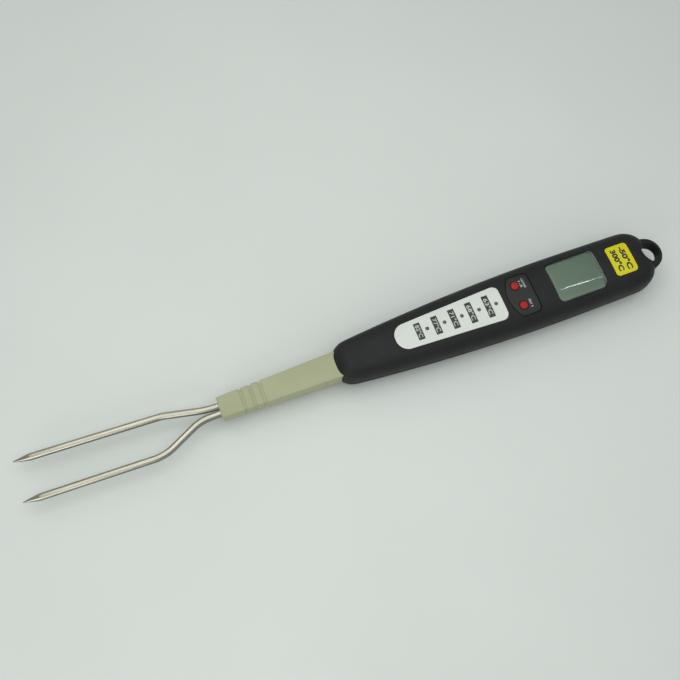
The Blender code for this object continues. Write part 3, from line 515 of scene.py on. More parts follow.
def plate(name, outline, holes, outer, inner, edge, finish, sense=1, spacing=1.0 * MM, steps=4):
    """A closed plate between two height functions, with rounded outer edges and true holes.

    outer and inner take a station and y. sense is 1 where the outer face looks up and -1 where it looks down.
    """
    loops = [outline] + holes
    rims = [loop.at(-edge) for loop in loops]
    flat = [Vector(p) for rim in rims for p in rim]
    edges = []
    first = 0
    for rim in rims:
        count = len(rim)
        edges += [(first + i, first + (i + 1) % count) for i in range(count)]
        first += count
    limit = outline.at(-edge - 0.45 * spacing)
    voids = [h.at(-edge - 0.45 * spacing) for h in holes]

    def wanted(point):
        return inside(point, limit) and not any(inside(point, void) for void in voids)

    flat += filling(rims[0], spacing, (0, 0.37), 0.5, wanted)
    points, _, triangles, origins, _, _ = delaunay_2d_cdt(flat, edges, [], 0, 1e-9)
    place = {source: index for index, origin in enumerate(origins) for source in origin}
    form = bmesh.new()
    top = [form.verts.new((along(p.x), p.y, outer(p.x, p.y))) for p in points]
    base = [form.verts.new((along(p.x), p.y, inner(p.x, p.y))) for p in points]
    for triangle in triangles:
        centre = sum((points[i] for i in triangle), Vector((0, 0))) / 3
        if inside(centre, rims[0]) and not any(inside(centre, rim) for rim in rims[1:]):
            form.faces.new([top[i] for i in triangle])
            form.faces.new([base[i] for i in reversed(triangle)])
    first = 0
    for loop, rim in zip(loops, rims):
        order = [place[first + i] for i in range(len(rim))]
        first += len(rim)
        rings = [[top[i] for i in order]]
        for angle in arc(0, 90, steps)[1:]:
            margin, drop = edge * (math.sin(angle) - 1), edge * (1 - math.cos(angle))
            ring = [(p, outer(p.x, p.y) - sense * drop) for p in loop.at(margin)]
            rings.append([form.verts.new((along(p.x), p.y, z)) for p, z in ring])
        rings.append([form.verts.new((along(p.x), p.y, inner(p.x, p.y))) for p in loop.at(0)])
        rings.append([base[i] for i in order])
        bridge(form, rings)
    drop_loose(form)
    return smooth(add(name, mesh_of(name, form), finish), 35)


def lip(name, outline, surface, depth, radius, sense=1):
    """A ring that rounds the edge of an opening over, down to a depth."""
    far, skin = radius + 0.25 * MM, 0.004 * MM
    profile = [(far, depth), (far, 0.06 * MM), (radius, skin)]
    for angle in arc(0, 90, 5)[1:]:
        profile.append((radius * (1 - math.sin(angle)), skin + radius * (1 - math.cos(angle))))
    profile.append((0, depth))
    form = bmesh.new()
    rings = []
    for margin, drop in profile:
        ring = [(p, surface(p.x, p.y) - sense * drop) for p in outline.at(margin)]
        rings.append([form.verts.new((along(p.x), p.y, z)) for p, z in ring])
    bridge(form, rings + rings[:1])
    return add(name, mesh_of(name, form))


def turned(name, profile, station, y, finish=None, sides=48):
    """A solid turned about an upright axis, from a profile of (radius, z) points, top to bottom."""
    form = bmesh.new()
    capped(form, [round_ring(form, station, y, radius, z, sides) for radius, z in profile])
    return smooth(add(name, mesh_of(name, form), finish), 35)


def show(piece, body, slot, *nodes):
    """Puts a finished piece on a body, in place of CAD nodes."""
    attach(piece, body)
    if nodes:
        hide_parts(*nodes)
    return piece


# ---- handle shape


def handle_half_width(station):
    toward_neck = max(0, WIDEST - station) / (60 * MM)
    toward_loop = max(0, station - WIDEST) / (40 * MM)
    return HANDLE_HALF_WIDTH - 1.7 * MM * toward_neck**1.95 - 0.5 * MM * toward_loop**1.5


def handle_top(station):
    return HANDLE_TOP - 2 * MM * (max(0, WIDEST - station) / (125 * MM)) ** 1.5


def end_factor(station, inset=0):
    if station < NOSE_START:
        share, power = (NOSE_START - station) / (NOSE_LENGTH - inset), NOSE_POWER
    elif station > TAIL_START:
        share, power = (station - TAIL_START) / (TAIL_LENGTH - inset), TAIL_POWER
    else:
        return 1
    return max(0, 1 - share**power) ** (1 / power)


def measures(station, inset=0):
    """Half width, rise above and fall below the parting line."""
    factor = end_factor(station, inset)
    half = (handle_half_width(station) - inset) * factor
    rise = (handle_top(station) - PARTING - inset) * factor
    fall = (PARTING + FOOT_DEPTH - inset) * factor
    return half, rise, fall


def upper_face(station, y, inset=0):
    half, rise, _ = measures(station, inset)
    share = min(1, abs(y) / half)
    return PARTING + rise * (1 - share**UPPER_POWER) ** (1 / UPPER_POWER)


def above_floor(z, softness=0.12 * MM):
    return (z + math.sqrt(z * z + softness * softness)) / 2


def lower_face(station, y, inset=0):
    half, _, fall = measures(station, inset)
    share = min(1, abs(y) / half)
    z = PARTING - fall * (1 - share**LOWER_POWER) ** (1 / LOWER_POWER)
    return above_floor(z) if inset == 0 else max(z, inset)


def fine_stations(spacing=1.3 * MM, nose_limit=86, tail_limit=86):
    nose = [math.sin(a) ** (2 / NOSE_POWER) for a in arc(nose_limit, 6, 22)]
    tail = [math.sin(a) ** (2 / TAIL_POWER) for a in arc(6, tail_limit, 26)]
    count = round((TAIL_START - NOSE_START) / spacing)
    stations = [NOSE_START - share * NOSE_LENGTH for share in nose]
    stations += [NOSE_START + (TAIL_START - NOSE_START) * k / count for k in range(count + 1)]
    return stations + [TAIL_START + share * TAIL_LENGTH for share in tail]


def half_ring(station, upper, steps=56):
    """Half of the handle's outline at a station, closed across the parting line, with a small round there."""
    half, rise, fall = measures(station)
    reach, power, sense = (rise, UPPER_POWER, 1) if upper else (fall, LOWER_POWER, -1)
    edge = min(0.3 * MM, 0.2 * half, 0.2 * reach)
    level = min(GAP / 2, 0.3 * reach)
    begin = math.degrees(math.asin(((level + edge) / reach) ** (power / 2)))
    width = math.cos(math.radians(begin)) ** (2 / power) * half
    side = [(width - edge + edge * math.sin(a), level + edge - edge * math.cos(a)) for a in arc(0, 90, 4)]
    for angle in arc(begin, 90, steps)[1:]:
        y, z = max(0, math.cos(angle)) ** (2 / power) * half, math.sin(angle) ** (2 / power) * reach
        side.append((y, z))
    ring = side + [(-y, z) for y, z in reversed(side[:-1])]
    points = [(along(station), y, PARTING + sense * z) for y, z in ring]
    return points if upper else [(x, y, above_floor(z)) for x, y, z in points]


def inner_loft(name, inset, last):
    """The shells' inside, as the CAD has it."""
    steps = 24
    stations = [s for s in fine_stations(4 * MM, 84, 84) if s < last - MM] + [last]
    sections = []
    for station in stations:
        half, rise, fall = measures(station, inset)
        ring = []
        for power, height, start in ((UPPER_POWER, rise, 0), (LOWER_POWER, -fall, 180)):
            for angle in arc(start, start + 180, steps)[:-1]:
                across = abs(math.cos(angle)) ** (2 / power) * math.copysign(half, math.cos(angle))
                z = PARTING + abs(math.sin(angle)) ** (2 / power) * height
                ring.append((along(station), across, z))
        sections.append(ring)
    return loft(name, sections)


def label_draw(margin):
    low, high = LABEL_START - margin, LABEL_END + margin
    start, end = LABEL_HALF_START + margin, LABEL_HALF_END + margin
    blunt, tight = 6.8 * MM + margin, 3.5 * MM + margin
    return rounded(
        [(low, -start, blunt), (high, -end, tight), (high, end, tight), (low, start, blunt)], 14
    )


def panel_draw(margin):
    end, half = PANEL_END + margin, PANEL_HALF + margin
    reach = PANEL_ARC + margin
    centre = PANEL_START + PANEL_ARC
    bow = []
    for k in range(-12, 13):
        y = k / 12 * 9.6 * MM
        bow.append((centre - math.sqrt(reach**2 - y**2), y, 0))
    side = centre - math.sqrt(reach**2 - half**2)
    corners = [(side, half, 2 * MM), (end, half, 2.5 * MM), (end, -half, 2.5 * MM), (side, -half, 2 * MM)]
    return rounded(bow + corners)


LABEL = Outline(label_draw)
PANEL = Outline(panel_draw)
BADGE = Outline(lambda margin: rectangle(BADGE_START, BADGE_END, BADGE_HALF, 2 * MM, margin))
WINDOW = Outline(lambda margin: rectangle(WINDOW_START, WINDOW_END, WINDOW_HALF, 3 * MM, margin))
DOOR = Outline(lambda margin: rectangle(DOOR_START, DOOR_END, DOOR_HALF, 1.5 * MM, margin))
LIGHTS = [LIGHT_START + k * LIGHT_PITCH for k in range(LIGHT_COUNT)]


def shell_form(name, upper):
    return loft(name, [half_ring(s, upper) for s in fine_stations()], FINISHES["soft_touch_black"])


def neck_section(station, margin=0, steps=6):
    """The neck's outline: a box with rounded edges that is wider and taller toward the handle."""
    share = (station - NECK_FRONT) / (NECK_END - NECK_FRONT)
    half = (6.1 + 1.65 * share) * MM + margin
    low = (6.6 - 0.6 * share) * MM - margin
    high = (14.9 + 2.6 * share) * MM + margin
    top_half = half - 0.25 * MM
    corners = [(half, low, 1, -1, -90), (top_half, high, 1, 1, 0)]
    corners += [(-top_half, high, -1, 1, 90), (-half, low, -1, -1, 180)]
    ring = []
    for y, z, side, rise, start in corners:
        bevel = (0.5 if rise > 0 else 0.9) * MM
        centre = (y - side * bevel, z - rise * bevel)
        for angle in arc(start, start + 90, steps):
            point = (centre[0] + bevel * math.cos(angle), centre[1] + bevel * math.sin(angle))
            ring.append((along(station), *point))
    return ring


def face_recess(name, outline, depth):
    """A cutter that sinks an outline into the handle's top, with its floor along the surface."""
    form = bmesh.new()
    points = [Vector(p) for p in outline]
    count = len(points)
    grid = filling(points, 1.5 * MM, (0.43, 0.31), 0, lambda point: inside(point, points))
    edges = [(i, (i + 1) % count) for i in range(count)]
    flat, _, triangles, origins, _, _ = delaunay_2d_cdt(points + grid, edges, [], 0, 1e-9)
    place = {source: index for index, origin in enumerate(origins) for source in origin}
    floor = [form.verts.new((along(p.x), p.y, upper_face(p.x, p.y) - depth)) for p in flat]
    for triangle in triangles:
        centre = sum((flat[i] for i in triangle), Vector((0, 0))) / 3
        if inside(centre, points):
            form.faces.new([floor[i] for i in triangle])
    rim = [floor[place[i]] for i in range(count)]
    roof = [form.verts.new((v.co.x, v.co.y, HANDLE_TOP + MM)) for v in rim]
    bridge(form, [rim, roof])
    form.faces.new(roof)
    drop_loose(form)
    return add(name, mesh_of(name, form))


def hang_ring():
    """The loop's solid ring, with its rim rounded over."""
    level = PARTING + GAP / 2
    rim, foot = 1.9 * MM, 0.3 * MM
    profile = []
    for angle in arc(0, 90, 8):
        profile.append((LOOP_RADIUS - rim + rim * math.sin(angle), LOOP_TOP - rim + rim * math.cos(angle)))
    for angle in arc(0, 90, 3):
        profile.append((LOOP_RADIUS - foot + foot * math.cos(angle), level + foot - foot * math.sin(angle)))
    return turned("hang_ring", profile, LOOP_CENTRE, 0, None, 96)


def hang_hole():
    """A hole right through the loop and the tail above it, rounded over at the loop's top."""
    round_over = 0.7 * MM
    profile = [(HOLE_RADIUS + round_over, HANDLE_TOP + MM), (HOLE_RADIUS + round_over, LOOP_TOP + 0.1 * MM)]
    for angle in arc(0, 90, 8):
        drop = round_over * (1 - math.cos(angle))
        profile.append((HOLE_RADIUS + round_over * (1 - math.sin(angle)), LOOP_TOP - drop))
    flare = HOLE_RADIUS + 0.4 * MM
    profile += [(HOLE_RADIUS, 11.3 * MM), (flare, 10.7 * MM), (flare, 8 * MM)]
    return turned("hang_hole", profile, HOLE_CENTRE, 0, None, 80)


def neck_opening(name):
    sections = [neck_section(s, 0.12 * MM) for s in (168 * MM, 181.2 * MM)]
    opening = loft(name, sections)
    slot = box(name + "_slot", (180 * MM, -4.6 * MM, 7.9 * MM), (190 * MM, 4.6 * MM, 12.7 * MM))
    return join(opening, slot)


def build_upper_shell():
    shell = shell_form("handle_upper_shell", True)
    join(shell, hang_ring())
    cut(shell, inner_loft("cavity", WALL, CAVITY_END))
    cut(shell, neck_opening("upper_neck"))
    cut(shell, hang_hole())
    edge = 0.35 * MM
    for name, outline, depth in (("label", LABEL, 0.75 * MM), ("badge", BADGE, 0.65 * MM)):
        cut(shell, face_recess(name, outline.at(0.15 * MM + edge), depth))
        ring = Outline(lambda margin, o=outline: o.draw(margin + 0.15 * MM))
        join(shell, lip(name + "_lip", ring, upper_face, depth + 0.1 * MM, edge))
    for name, outline in (("panel", PANEL), ("window", WINDOW)):
        cut(shell, prism(name, outline.at(0.2 * MM + edge), 18 * MM, 26 * MM))
        ring = Outline(lambda margin, o=outline: o.draw(margin + 0.2 * MM))
        join(shell, lip(name + "_lip", ring, upper_face, 1.6 * MM, edge))
    light_holes = posts("lights", [(s, 0) for s in LIGHTS], 16 * MM, 26 * MM, LIGHT_RADIUS + GAP)
    cut(shell, light_holes)
    smooth(shell, 32)
    show(shell, "handle", "soft_touch_black", "upper_shell")


def build_lower_shell():
    shell = shell_form("handle_lower_shell", False)
    cut(shell, inner_loft("cavity", WALL, CAVITY_END))
    wall_low = (BAY_START - BAY_WALL, -BAY_HALF - BAY_WALL, 0)
    wall_high = (BAY_END + BAY_WALL, BAY_HALF + BAY_WALL, BAY_TOP + 0.8 * MM)
    ribs = box("bay_wall", wall_low, wall_high)
    boolean(ribs, "INTERSECT", inner_loft("bay_wall_limit", WALL / 2, CAVITY_END))
    join(shell, ribs)
    bay = box("bay_space", (BAY_START, -BAY_HALF, 0), (BAY_END, BAY_HALF, BAY_TOP))
    boolean(bay, "INTERSECT", inner_loft("bay_limit", WALL, CAVITY_END))
    cut(shell, bay)
    for station, y in both_sides(SHELL_SCREWS):
        tower = prism("tower", circle(station, y, 3.6 * MM), 0.5 * MM, PARTING - GAP / 2)
        boolean(tower, "INTERSECT", inner_loft("tower_limit", WALL / 2, CAVITY_END))
        join(shell, tower)
    edge = 0.3 * MM
    cut(shell, prism("door", DOOR.at(GAP + edge), -MM, 4 * MM))
    ring = Outline(lambda margin: DOOR.draw(margin + GAP))
    join(shell, lip("door_lip", ring, lower_face, 1.4 * MM, edge, -1))
    wells = posts("wells", both_sides(SHELL_SCREWS), -MM, 5 * MM, 2.7 * MM)
    cut(shell, wells)
    cut(shell, posts("shafts", both_sides(SHELL_SCREWS), 3 * MM, 12 * MM, 1.55 * MM))
    notch = [(8.4 * MM, 12 * MM), (8.4 * MM, 1.2 * MM), (8.7 * MM, 0.3 * MM)]
    notch += [(9.4 * MM, -0.4 * MM), (9.4 * MM, -MM)]
    cut(shell, turned("notch", notch, 364.9 * MM, 0, None, 96))
    scoop = []
    for angle in arc(0, 90, 6):
        scoop.append((7 * MM - 1.1 * MM * (1 - math.sin(angle)), 0.1 * MM + 1.1 * MM * math.cos(angle)))
    cut(shell, turned("scoop", scoop + [(7 * MM, -MM)], 292 * MM, 0, None, 64))
    cut(shell, neck_opening("lower_neck"))
    smooth(shell, 32)
    show(shell, "handle", "soft_touch_black", "lower_shell")


# ---- neck and tines


def neck_places():
    """Stations along the neck with how far the section is set in, with rounded groove edges."""
    front = 0.5 * MM
    places = [(NECK_FRONT + front * (1 - math.cos(a)), -front * (1 - math.sin(a))) for a in arc(0, 90, 5)]
    depth = GROOVE_DEPTH
    for groove in GROOVES:
        low, high = groove - GROOVE_WIDTH / 2, groove + GROOVE_WIDTH / 2
        floor = low + GROOVE_RAMP
        places += [(low - 0.1 * MM, 0), (low + 0.06 * MM, -0.05 * depth), (floor - 0.1 * MM, -0.93 * depth)]
        places += [(floor, -depth), (high - 0.34 * MM, -depth), (high - 0.24 * MM, -0.88 * depth)]
        places += [(high - 0.12 * MM, -0.2 * depth), (high, -0.04 * depth), (high + 0.12 * MM, 0)]
    last = GROOVES[-1] + GROOVE_WIDTH / 2 + 0.6 * MM
    count = 40
    places += [(last + (NECK_END - last) * k / count, 0) for k in range(count + 1)]
    return places + [(COLLAR_END, 0)]


def rod(name, y, z, low, high, radius, sides=40):
    sections = []
    for station in (low, high):
        ring = circle(station, 0, radius, sides)
        sections.append([(along(station), y + t, z + s - station) for s, t in ring])
    return loft(name, sections)


def build_neck():
    sections = [neck_section(s, change) for s, change in neck_places()]
    neck = loft("neck", sections, FINISHES["khaki_plastic"])
    low, high, radius = NECK_FRONT - 2 * MM, COLLAR_END + 2 * MM, TINE_RADIUS + 0.12 * MM
    for side in (-1, 1):
        bore = rod("bore", side * TINE_EXIT, TINE_HEIGHT, low, high, radius)
        cut(neck, bore)
    smooth(neck, 40)
    show(neck, "handle", "khaki_plastic", "neck_sleeve")


def tine_route(side):
    if side > 0:
        bends = [(80 * MM, 7.3 * MM, 32 * MM), (103.6 * MM, TINE_EXIT, 56 * MM)]
        tip = TIP_SIDE
    else:
        bends = [(75.7 * MM, -13.4 * MM, 24 * MM), (98.3 * MM, -TINE_EXIT, 24 * MM)]
        tip = TIP_SIDE - TIP_SPREAD
    corners = [(TIP_STATION, tip, 0)] + bends + [(TINE_END, side * TINE_EXIT, 0)]
    return rounded(corners, 24, closed=False)


def tine_radius(distance):
    """A ground point: a straight taper that turns gently into the rod, with a tiny round at the very tip."""
    taper, tip = 8.8 * MM, 0.35 * MM
    if distance < tip:
        return math.sqrt(max(0, tip**2 - (tip - distance) ** 2))
    share = min(1, (distance - tip) / (taper - tip))
    return tip + (TINE_RADIUS - tip) * (share + 0.06 * math.sin(math.pi * share))


def build_tine(name, side, node):
    route = tine_route(side)
    dense = [route[0]]
    for one, two in zip(route, route[1:]):
        cuts = max(1, math.ceil((two - one).length / (1.2 * MM)))
        dense += [one.lerp(two, k / cuts) for k in range(1, cuts + 1)]
    start, direction = dense[0], (dense[1] - dense[0]).normalized()
    near = [0.01, 0.05, 0.12, 0.22, 0.35, 0.55, 0.85, 1.3, 1.9, 2.6, 3.4, 4.2, 5, 5.8, 6.6, 7.4]
    near += [8, 8.4, 8.7, 9]
    rest = [p for p in dense if (p - start).length > 9.6 * MM]
    dense = [start + direction * d * MM for d in near] + rest
    sides = 48
    form = bmesh.new()
    grain = form.verts.layers.float_vector.new("grain")
    rings = []
    travelled = 0
    for i, point in enumerate(dense):
        ahead = dense[min(i + 1, len(dense) - 1)] - dense[max(i - 1, 0)]
        across = Vector((-ahead.y, ahead.x)).normalized()
        travelled += (point - dense[i - 1]).length if i else near[0] * MM
        radius = min(TINE_RADIUS, tine_radius(travelled))
        ring = []
        for k in range(sides):
            angle = 2 * math.pi * k / sides
            flat = point + across * radius * math.cos(angle)
            vertex = form.verts.new((along(flat.x), flat.y, TINE_HEIGHT + radius * math.sin(angle)))
            # The round coordinate also places the steel's painted shade line on the rod's near side.
            round_part = abs((k / sides) - 0.5) * 2
            vertex[grain] = (travelled, round_part * math.pi * TINE_RADIUS, side * 0.5)
            ring.append(vertex)
        rings.append(ring)
    capped(form, rings)
    tine = smooth(add(name, mesh_of(name, form), FINISHES["stainless_steel"]), 50)
    show(tine, "handle", "stainless_steel", node)


# ---- face pieces


def sunk(depth):
    """The handle's top, this far down."""
    return lambda station, y: upper_face(station, y) - depth


FLUSH, ON_BADGE, ON_PANEL = sunk(0.04 * MM), sunk(0.05 * MM), sunk(0.35 * MM)


def face_plate(name, outline, holes, outer, inner, edge, slot, *nodes, **shape):
    piece = plate(name, outline, holes, outer, inner, edge, FINISHES[slot], **shape)
    show(piece, "handle", slot, *nodes)


def build_label():
    holes = [hole(s, 0, LIGHT_RADIUS + 0.08 * MM) for s in LIGHTS]
    face_plate(
        "preset_label_plate", LABEL, holes, FLUSH, sunk(0.4 * MM), 0.1 * MM, "label_white", "preset_label"
    )


def build_badge():
    inner = sunk(0.3 * MM)
    face_plate("badge_plate", BADGE, [], ON_BADGE, inner, 0.08 * MM, "badge_yellow", "badge_sticker")


def build_panel():
    holes = [hole(BUTTON_STATION, side * BUTTON_SIDE, BUTTON_RADIUS + 0.25 * MM) for side in (-1, 1)]
    inner = sunk(1.6 * MM)
    face_plate("button_panel_plate", PANEL, holes, ON_PANEL, inner, 0.35 * MM, "panel_grey", "button_panel")


def lens_face(station, y):
    """Flat in the middle, with soft shoulders and sides that slope down."""
    shoulder, softness, slope = 5.4 * MM, 0.16 * MM, 1.3 / 6.6
    over = (abs(y) - shoulder) / softness
    return HANDLE_TOP - 0.01 * MM - slope * softness * (math.log1p(math.exp(over)) if over < 30 else over)


def build_window():
    low = 21.4 * MM
    outline = Outline(lambda margin: WINDOW.draw(margin - 0.1 * MM))
    face_plate(
        "window_pane", outline, [], lens_face, lambda s, y: low, 0.5 * MM, "clear_plastic", "window_lens",
        spacing=0.7 * MM, steps=6,
    )
    under = Outline(lambda margin: WINDOW.draw(margin - 0.15 * MM))
    face_plate(
        "display_pane", under, [], lambda s, y: low - 0.05 * MM, lambda s, y: 18.5 * MM, 0.1 * MM,
        "display_grey", "display_glass", "lens_gasket",
    )


def build_buttons():
    top = HANDLE_TOP - 0.15 * MM
    radius = BUTTON_RADIUS
    crown = 0.28 * MM
    profile = [(radius * 0.02, top)]
    for share in (0.15, 0.3, 0.45, 0.6, 0.72, 0.82):
        profile.append((radius * share, top - crown * share**2.2))
    edge = 0.3 * MM
    start = profile[-1][1]
    for angle in arc(20, 90, 6):
        z = start - edge * (1 - math.cos(angle)) - 0.02 * MM
        profile.append((radius - edge + edge * math.sin(angle), z))
    flange, flange_top, base = 1.35 * radius, 21.5 * MM, 20.6 * MM
    profile += [(radius, flange_top), (flange, flange_top), (flange, base), (radius * 0.1, base)]
    for name, side in (("power", -1), ("select", 1)):
        cap = turned(f"{name}_cap", profile, BUTTON_STATION, side * BUTTON_SIDE, FINISHES["button_red"])
        show(cap, f"{name}_button", "button_red", f"{name}_button")


def build_lights():
    """The light guide's tips, one in each hole of the label."""
    form = bmesh.new()
    for station in LIGHTS:
        top = handle_top(station) - 0.12 * MM
        steps = ((0.5, 0), (0.8, 0.02 * MM), (0.95, 0.1 * MM), (1, 0.25 * MM), (1, 3 * MM))
        rings = [round_ring(form, station, 0, LIGHT_RADIUS * share, top - drop, 32) for share, drop in steps]
        capped(form, rings)
    tips = smooth(add("indicator_tips", mesh_of("indicator_tips", form), LAMP_GREY), 40)
    show(tips, "handle", "clear_plastic")


# ---- printing


def printed(name, pieces, surface, lift, thickness, finish, body):
    """Flat ink shapes laid on a surface. Each piece is a mesh of (station, y) points in its X and Y.

    The ink is cut into strips narrow enough to follow the surface's curve.
    """
    form = bmesh.new()
    for mesh in pieces:
        form.from_mesh(mesh)
        bpy.data.meshes.remove(mesh)
    strip, strips = 0.5 * MM, 24
    for k in range(-strips, strips + 1):
        geometry = form.verts[:] + form.edges[:] + form.faces[:]
        bmesh.ops.bisect_plane(form, geom=geometry, plane_co=(0, k * strip, 0), plane_no=(0, 1, 0))
    made = bmesh.ops.extrude_face_region(form, geom=form.faces[:])["geom"]
    raised = {v for v in made if isinstance(v, bmesh.types.BMVert)}
    for vertex in form.verts:
        station, y = vertex.co.x, vertex.co.y
        z = surface(station, y) + lift - (0 if vertex in raised else thickness)
        vertex.co = (along(station), y, z)
    ink = add(name, mesh_of(name, form), finish)
    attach(ink, body)
    return ink


def text_mesh(words, station, y, height, length, bold=0.0):
    """Lettering that reads toward -Y, with its top toward the loop, centred on a point."""
    curve = bpy.data.curves.new("words", "FONT")
    curve.body = words
    curve.size = 1
    curve.offset = bold
    curve.align_x, curve.align_y = "CENTER", "CENTER"
    curve.resolution_u = 4
    holder = bpy.data.objects.new("words", curve)
    bpy.context.scene.collection.objects.link(holder)
    bpy.context.view_layer.update()
    mesh = bpy.data.meshes.new_from_object(holder.evaluated_get(bpy.context.evaluated_depsgraph_get()))
    bpy.data.objects.remove(holder, do_unlink=True)
    low = [min(v.co[axis] for v in mesh.vertices) for axis in (0, 1)]
    high = [max(v.co[axis] for v in mesh.vertices) for axis in (0, 1)]
    scale = (length / (high[0] - low[0]), height / (high[1] - low[1]))
    for vertex in mesh.vertices:
        across, up = ((vertex.co[axis] - (low[axis] + high[axis]) / 2) * scale[axis] for axis in (0, 1))
        vertex.co = (station + up, y - across, 0)
    return mesh


def block_mesh(start, end, low, high, spacing=0.8 * MM):
    """A rectangle, divided finely enough to follow the surface."""
    columns = max(1, math.ceil((end - start) / spacing))
    rows = max(1, math.ceil((high - low) / spacing))
    form = bmesh.new()
    grid = []
    for i in range(columns + 1):
        station = start + (end - start) * i / columns
        grid.append([form.verts.new((station, low + (high - low) * j / rows, 0)) for j in range(rows + 1)])
    bridge(form, grid, closed=False)
    mesh = bpy.data.meshes.new("block")
    form.to_mesh(mesh)
    form.free()
    return mesh


def print_label():
    tabs, figures = [], []
    first_tab, pitch, narrowest, growth, reach = 222.0, 10.05, 9.7, 0.78, 1.78  # in millimetres
    for k, words in enumerate(("82", "77", "71", "68", "63")):
        middle = (first_tab + pitch * k) * MM
        half = (narrowest + growth * k) / 2 * MM
        tabs.append(block_mesh(middle - reach * MM, middle + reach * MM, -half, half))
        figures.append(text_mesh(words + "°C", middle, 0, 2.45 * MM, 1.5 * half, 0.02))
    printed("label_tabs", tabs, FLUSH, 0.014 * MM, 0.03 * MM, PRINT_BLACK, "handle")
    printed("label_figures", figures, FLUSH, 0.03 * MM, 0.03 * MM, PRINT_WHITE, "handle")


def print_badge():
    middle = (BADGE_START + BADGE_END) / 2
    words = [text_mesh("-50°C", middle + 2.5 * MM, 0, 3.4 * MM, 14 * MM, 0.05)]
    words.append(text_mesh("300°C", middle - 2.6 * MM, 0, 3.4 * MM, 13.2 * MM, 0.05))
    printed("badge_figures", words, ON_BADGE, 0.02 * MM, 0.03 * MM, PRINT_BLACK, "handle")


def print_panel():
    station = BUTTON_STATION + 4.1 * MM
    marks = [text_mesh("0/1", station, -BUTTON_SIDE, 1.3 * MM, 4.6 * MM, 0.03)]
    marks.append(text_mesh("12345", station + 0.95 * MM, BUTTON_SIDE, 1.25 * MM, 5.8 * MM, 0.03))
    marks.append(text_mesh("1-5", station - 0.85 * MM, BUTTON_SIDE, 1.25 * MM, 4 * MM, 0.03))
    printed("panel_marks", marks, ON_PANEL, 0.015 * MM, 0.03 * MM, PRINT_PALE, "handle")


# ---- underside


def build_door():
    start, end, half = DOOR_START, DOOR_END, DOOR_HALF

    def under(inset):
        return lambda station, y: lower_face(station, y, inset)

    def draw(margin):
        slot, width, foot = 4.2 * MM, 0.8 * MM, 8 * MM
        radius = 1.5 * MM + margin
        corners = [(start - margin, -half - margin, radius), (end + margin, -half - margin, radius)]
        for side in (-1, 1):
            near, far = (slot + width, slot) if side < 0 else (slot, slot + width)
            first, second = side * near, side * far
            corners.append((end + margin, first - margin, 0))
            corners.append((end - foot + margin, first - margin, 0))
            corners.append((end - foot + margin, second + margin, 0))
            corners.append((end + margin, second + margin, 0))
        corners += [(end + margin, half + margin, radius), (start - margin, half + margin, radius)]
        return rounded(corners, 8)

    outer, inner, finish = under(DOOR_INSET), under(DOOR_INSET + DOOR_THICKNESS), FINISHES["soft_touch_black"]
    door = plate("battery_door_plate", Outline(draw), [], outer, inner, 0.2 * MM, finish, -1)
    hook = box("hook_root", (start + 0.1 * MM, -1.4 * MM, MM), (start + 2 * MM, 1.4 * MM, 3.1 * MM))
    tip = box("hook_tip", (start - 1.8 * MM, -1.3 * MM, 2.15 * MM), (start + MM, 1.3 * MM, 3 * MM))
    join(hook, tip)
    join(door, hook)
    for k in range(5):
        station = end - (2.2 + 1.5 * k) * MM
        low, high = station - 0.35 * MM, station + 0.35 * MM
        rib = rectangle(low, high, 3.1 * MM, 0.34 * MM, steps=6)
        join(door, prism("rib", rib, 0.12 * MM, 0.9 * MM))
    smooth(door, 35)
    show(door, "battery_door", "soft_touch_black", "battery_door")


def build_screws():
    seat = SCREW_SEAT
    head, height, shank, length = 2.3 * MM, 1.6 * MM, 1.25 * MM, 11 * MM
    for number, (station, y) in enumerate(both_sides(SHELL_SCREWS), 1):
        profile = [(shank * 0.3, seat + length), (shank, seat + length - shank), (shank, seat), (head, seat)]
        for angle in arc(0, 90, 5):
            z = seat - 0.6 * height * math.sin(angle) - 0.2 * MM
            profile.append((head - 0.5 * MM * (1 - math.cos(angle)), z))
        profile += [(0.6 * head, seat - height + 0.1 * MM), (0.1 * head, seat - height)]
        screw = turned(f"screw_{number}", profile, station, y, FINISHES["plated_steel"])
        for reach, width in ((1.35 * MM, 0.22 * MM), (0.22 * MM, 1.35 * MM)):
            low = (station - reach, y - width, seat - height - MM)
            high = (station + reach, y + width, seat - height + 1.1 * MM)
            cut(screw, box("cross", low, high))
        smooth(screw, 35)
        show(screw, "handle", "plated_steel", f"shell_screw_{number}")


# ---- light, floor and camera


def build_stage():
    form = bmesh.new()
    bmesh.ops.create_grid(form, x_segments=8, y_segments=8, size=3)
    add("floor", mesh_of("floor", form), floor_white())


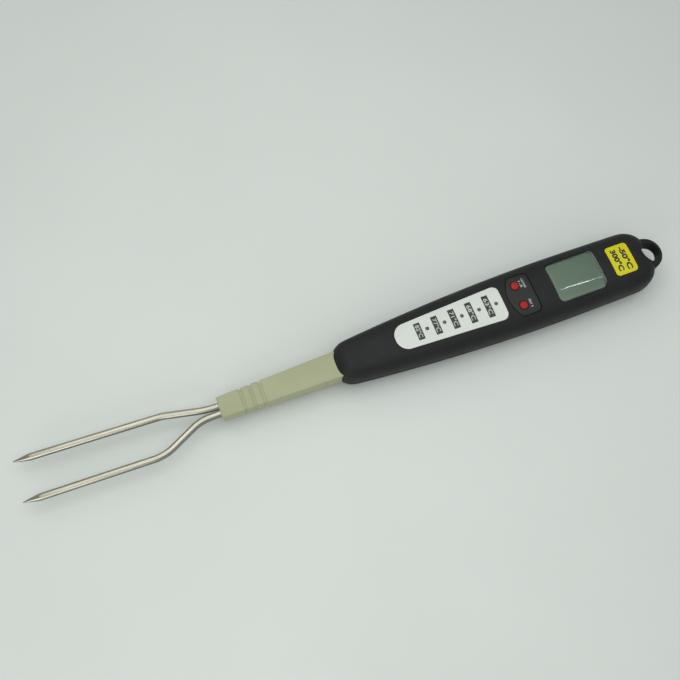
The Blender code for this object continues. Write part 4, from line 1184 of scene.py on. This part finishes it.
def area_light(name, place, target, size, power, colour=(1, 1, 1), size_y=None):
    data = bpy.data.lights.new(name, "AREA")
    data.shape = "RECTANGLE"
    data.size = size
    data.size_y = size_y or size
    data.energy = power
    data.color = colour
    lamp = bpy.data.objects.new(name, data)
    bpy.context.scene.collection.objects.link(lamp)
    lamp.location = place
    lamp.rotation_euler = (Vector(target) - Vector(place)).to_track_quat("-Z", "Y").to_euler()
    return lamp


def build_lights_and_world():
    world = bpy.data.worlds.new("studio")
    world.use_nodes = True
    background = world.node_tree.nodes["Background"]
    background.inputs["Color"].default_value = (0.93, 0.98, 0.97, 1)
    background.inputs["Strength"].default_value = 0.37
    bpy.context.scene.world = world
    area_light("overhead", (-0.02, -0.03, 0.5), (-0.02, -0.02, 0), 0.6, 1.5, (0.98, 1, 0.98))
    area_light("far_side", (-0.12, 0.5, 0.6), (-0.03, 0, 0), 0.5, 0.75, (1, 0.985, 0.95))
    area_light("near_fill", (-0.42, -0.46, 0.24), (-0.04, 0, 0), 0.4, 1.0, (1, 1, 0.98))
    area_light("streak", (0.485, 0.07, 0.8), (0.13, 0, 0), 0.2, 0.36, (1, 1, 1), 0.03)


def build_camera():
    data = bpy.data.cameras.new("camera")
    data.sensor_width = 36
    data.lens = 43.9359
    camera = bpy.data.objects.new("camera", data)
    bpy.context.scene.collection.objects.link(camera)
    right, down, ahead = (0.934, -0.3568, 0.0194), (0.3294, 0.8808, 0.3401), (0.1385, 0.3112, -0.9402)
    turn = Matrix([[right[i], down[i], -ahead[i]] for i in range(3)])
    camera.matrix_world = Matrix.Translation((along(0.1202), -0.1262, 0.4349)) @ turn.to_4x4()
    bpy.context.scene.camera = camera


def dress_frame():
    """Every CAD node takes the finish of its own slot."""
    for part in frame["record"]["subparts"]:
        node = frame["nodes"][part["node"]]
        node.data.materials.clear()
        node.data.materials.append(FINISHES[part["material_slot"]])


scene = bpy.context.scene
scene.view_settings.view_transform = "Standard"
dress_frame()
build_stage()
build_lights_and_world()
build_camera()
build_upper_shell()
build_lower_shell()
build_neck()
build_tine("sensor_rod", 1, "sensor_tine")
build_tine("support_rod", -1, "support_tine")
build_label()
build_badge()
build_panel()
build_window()
build_buttons()
build_lights()
print_label()
print_badge()
print_panel()
build_door()
build_screws()
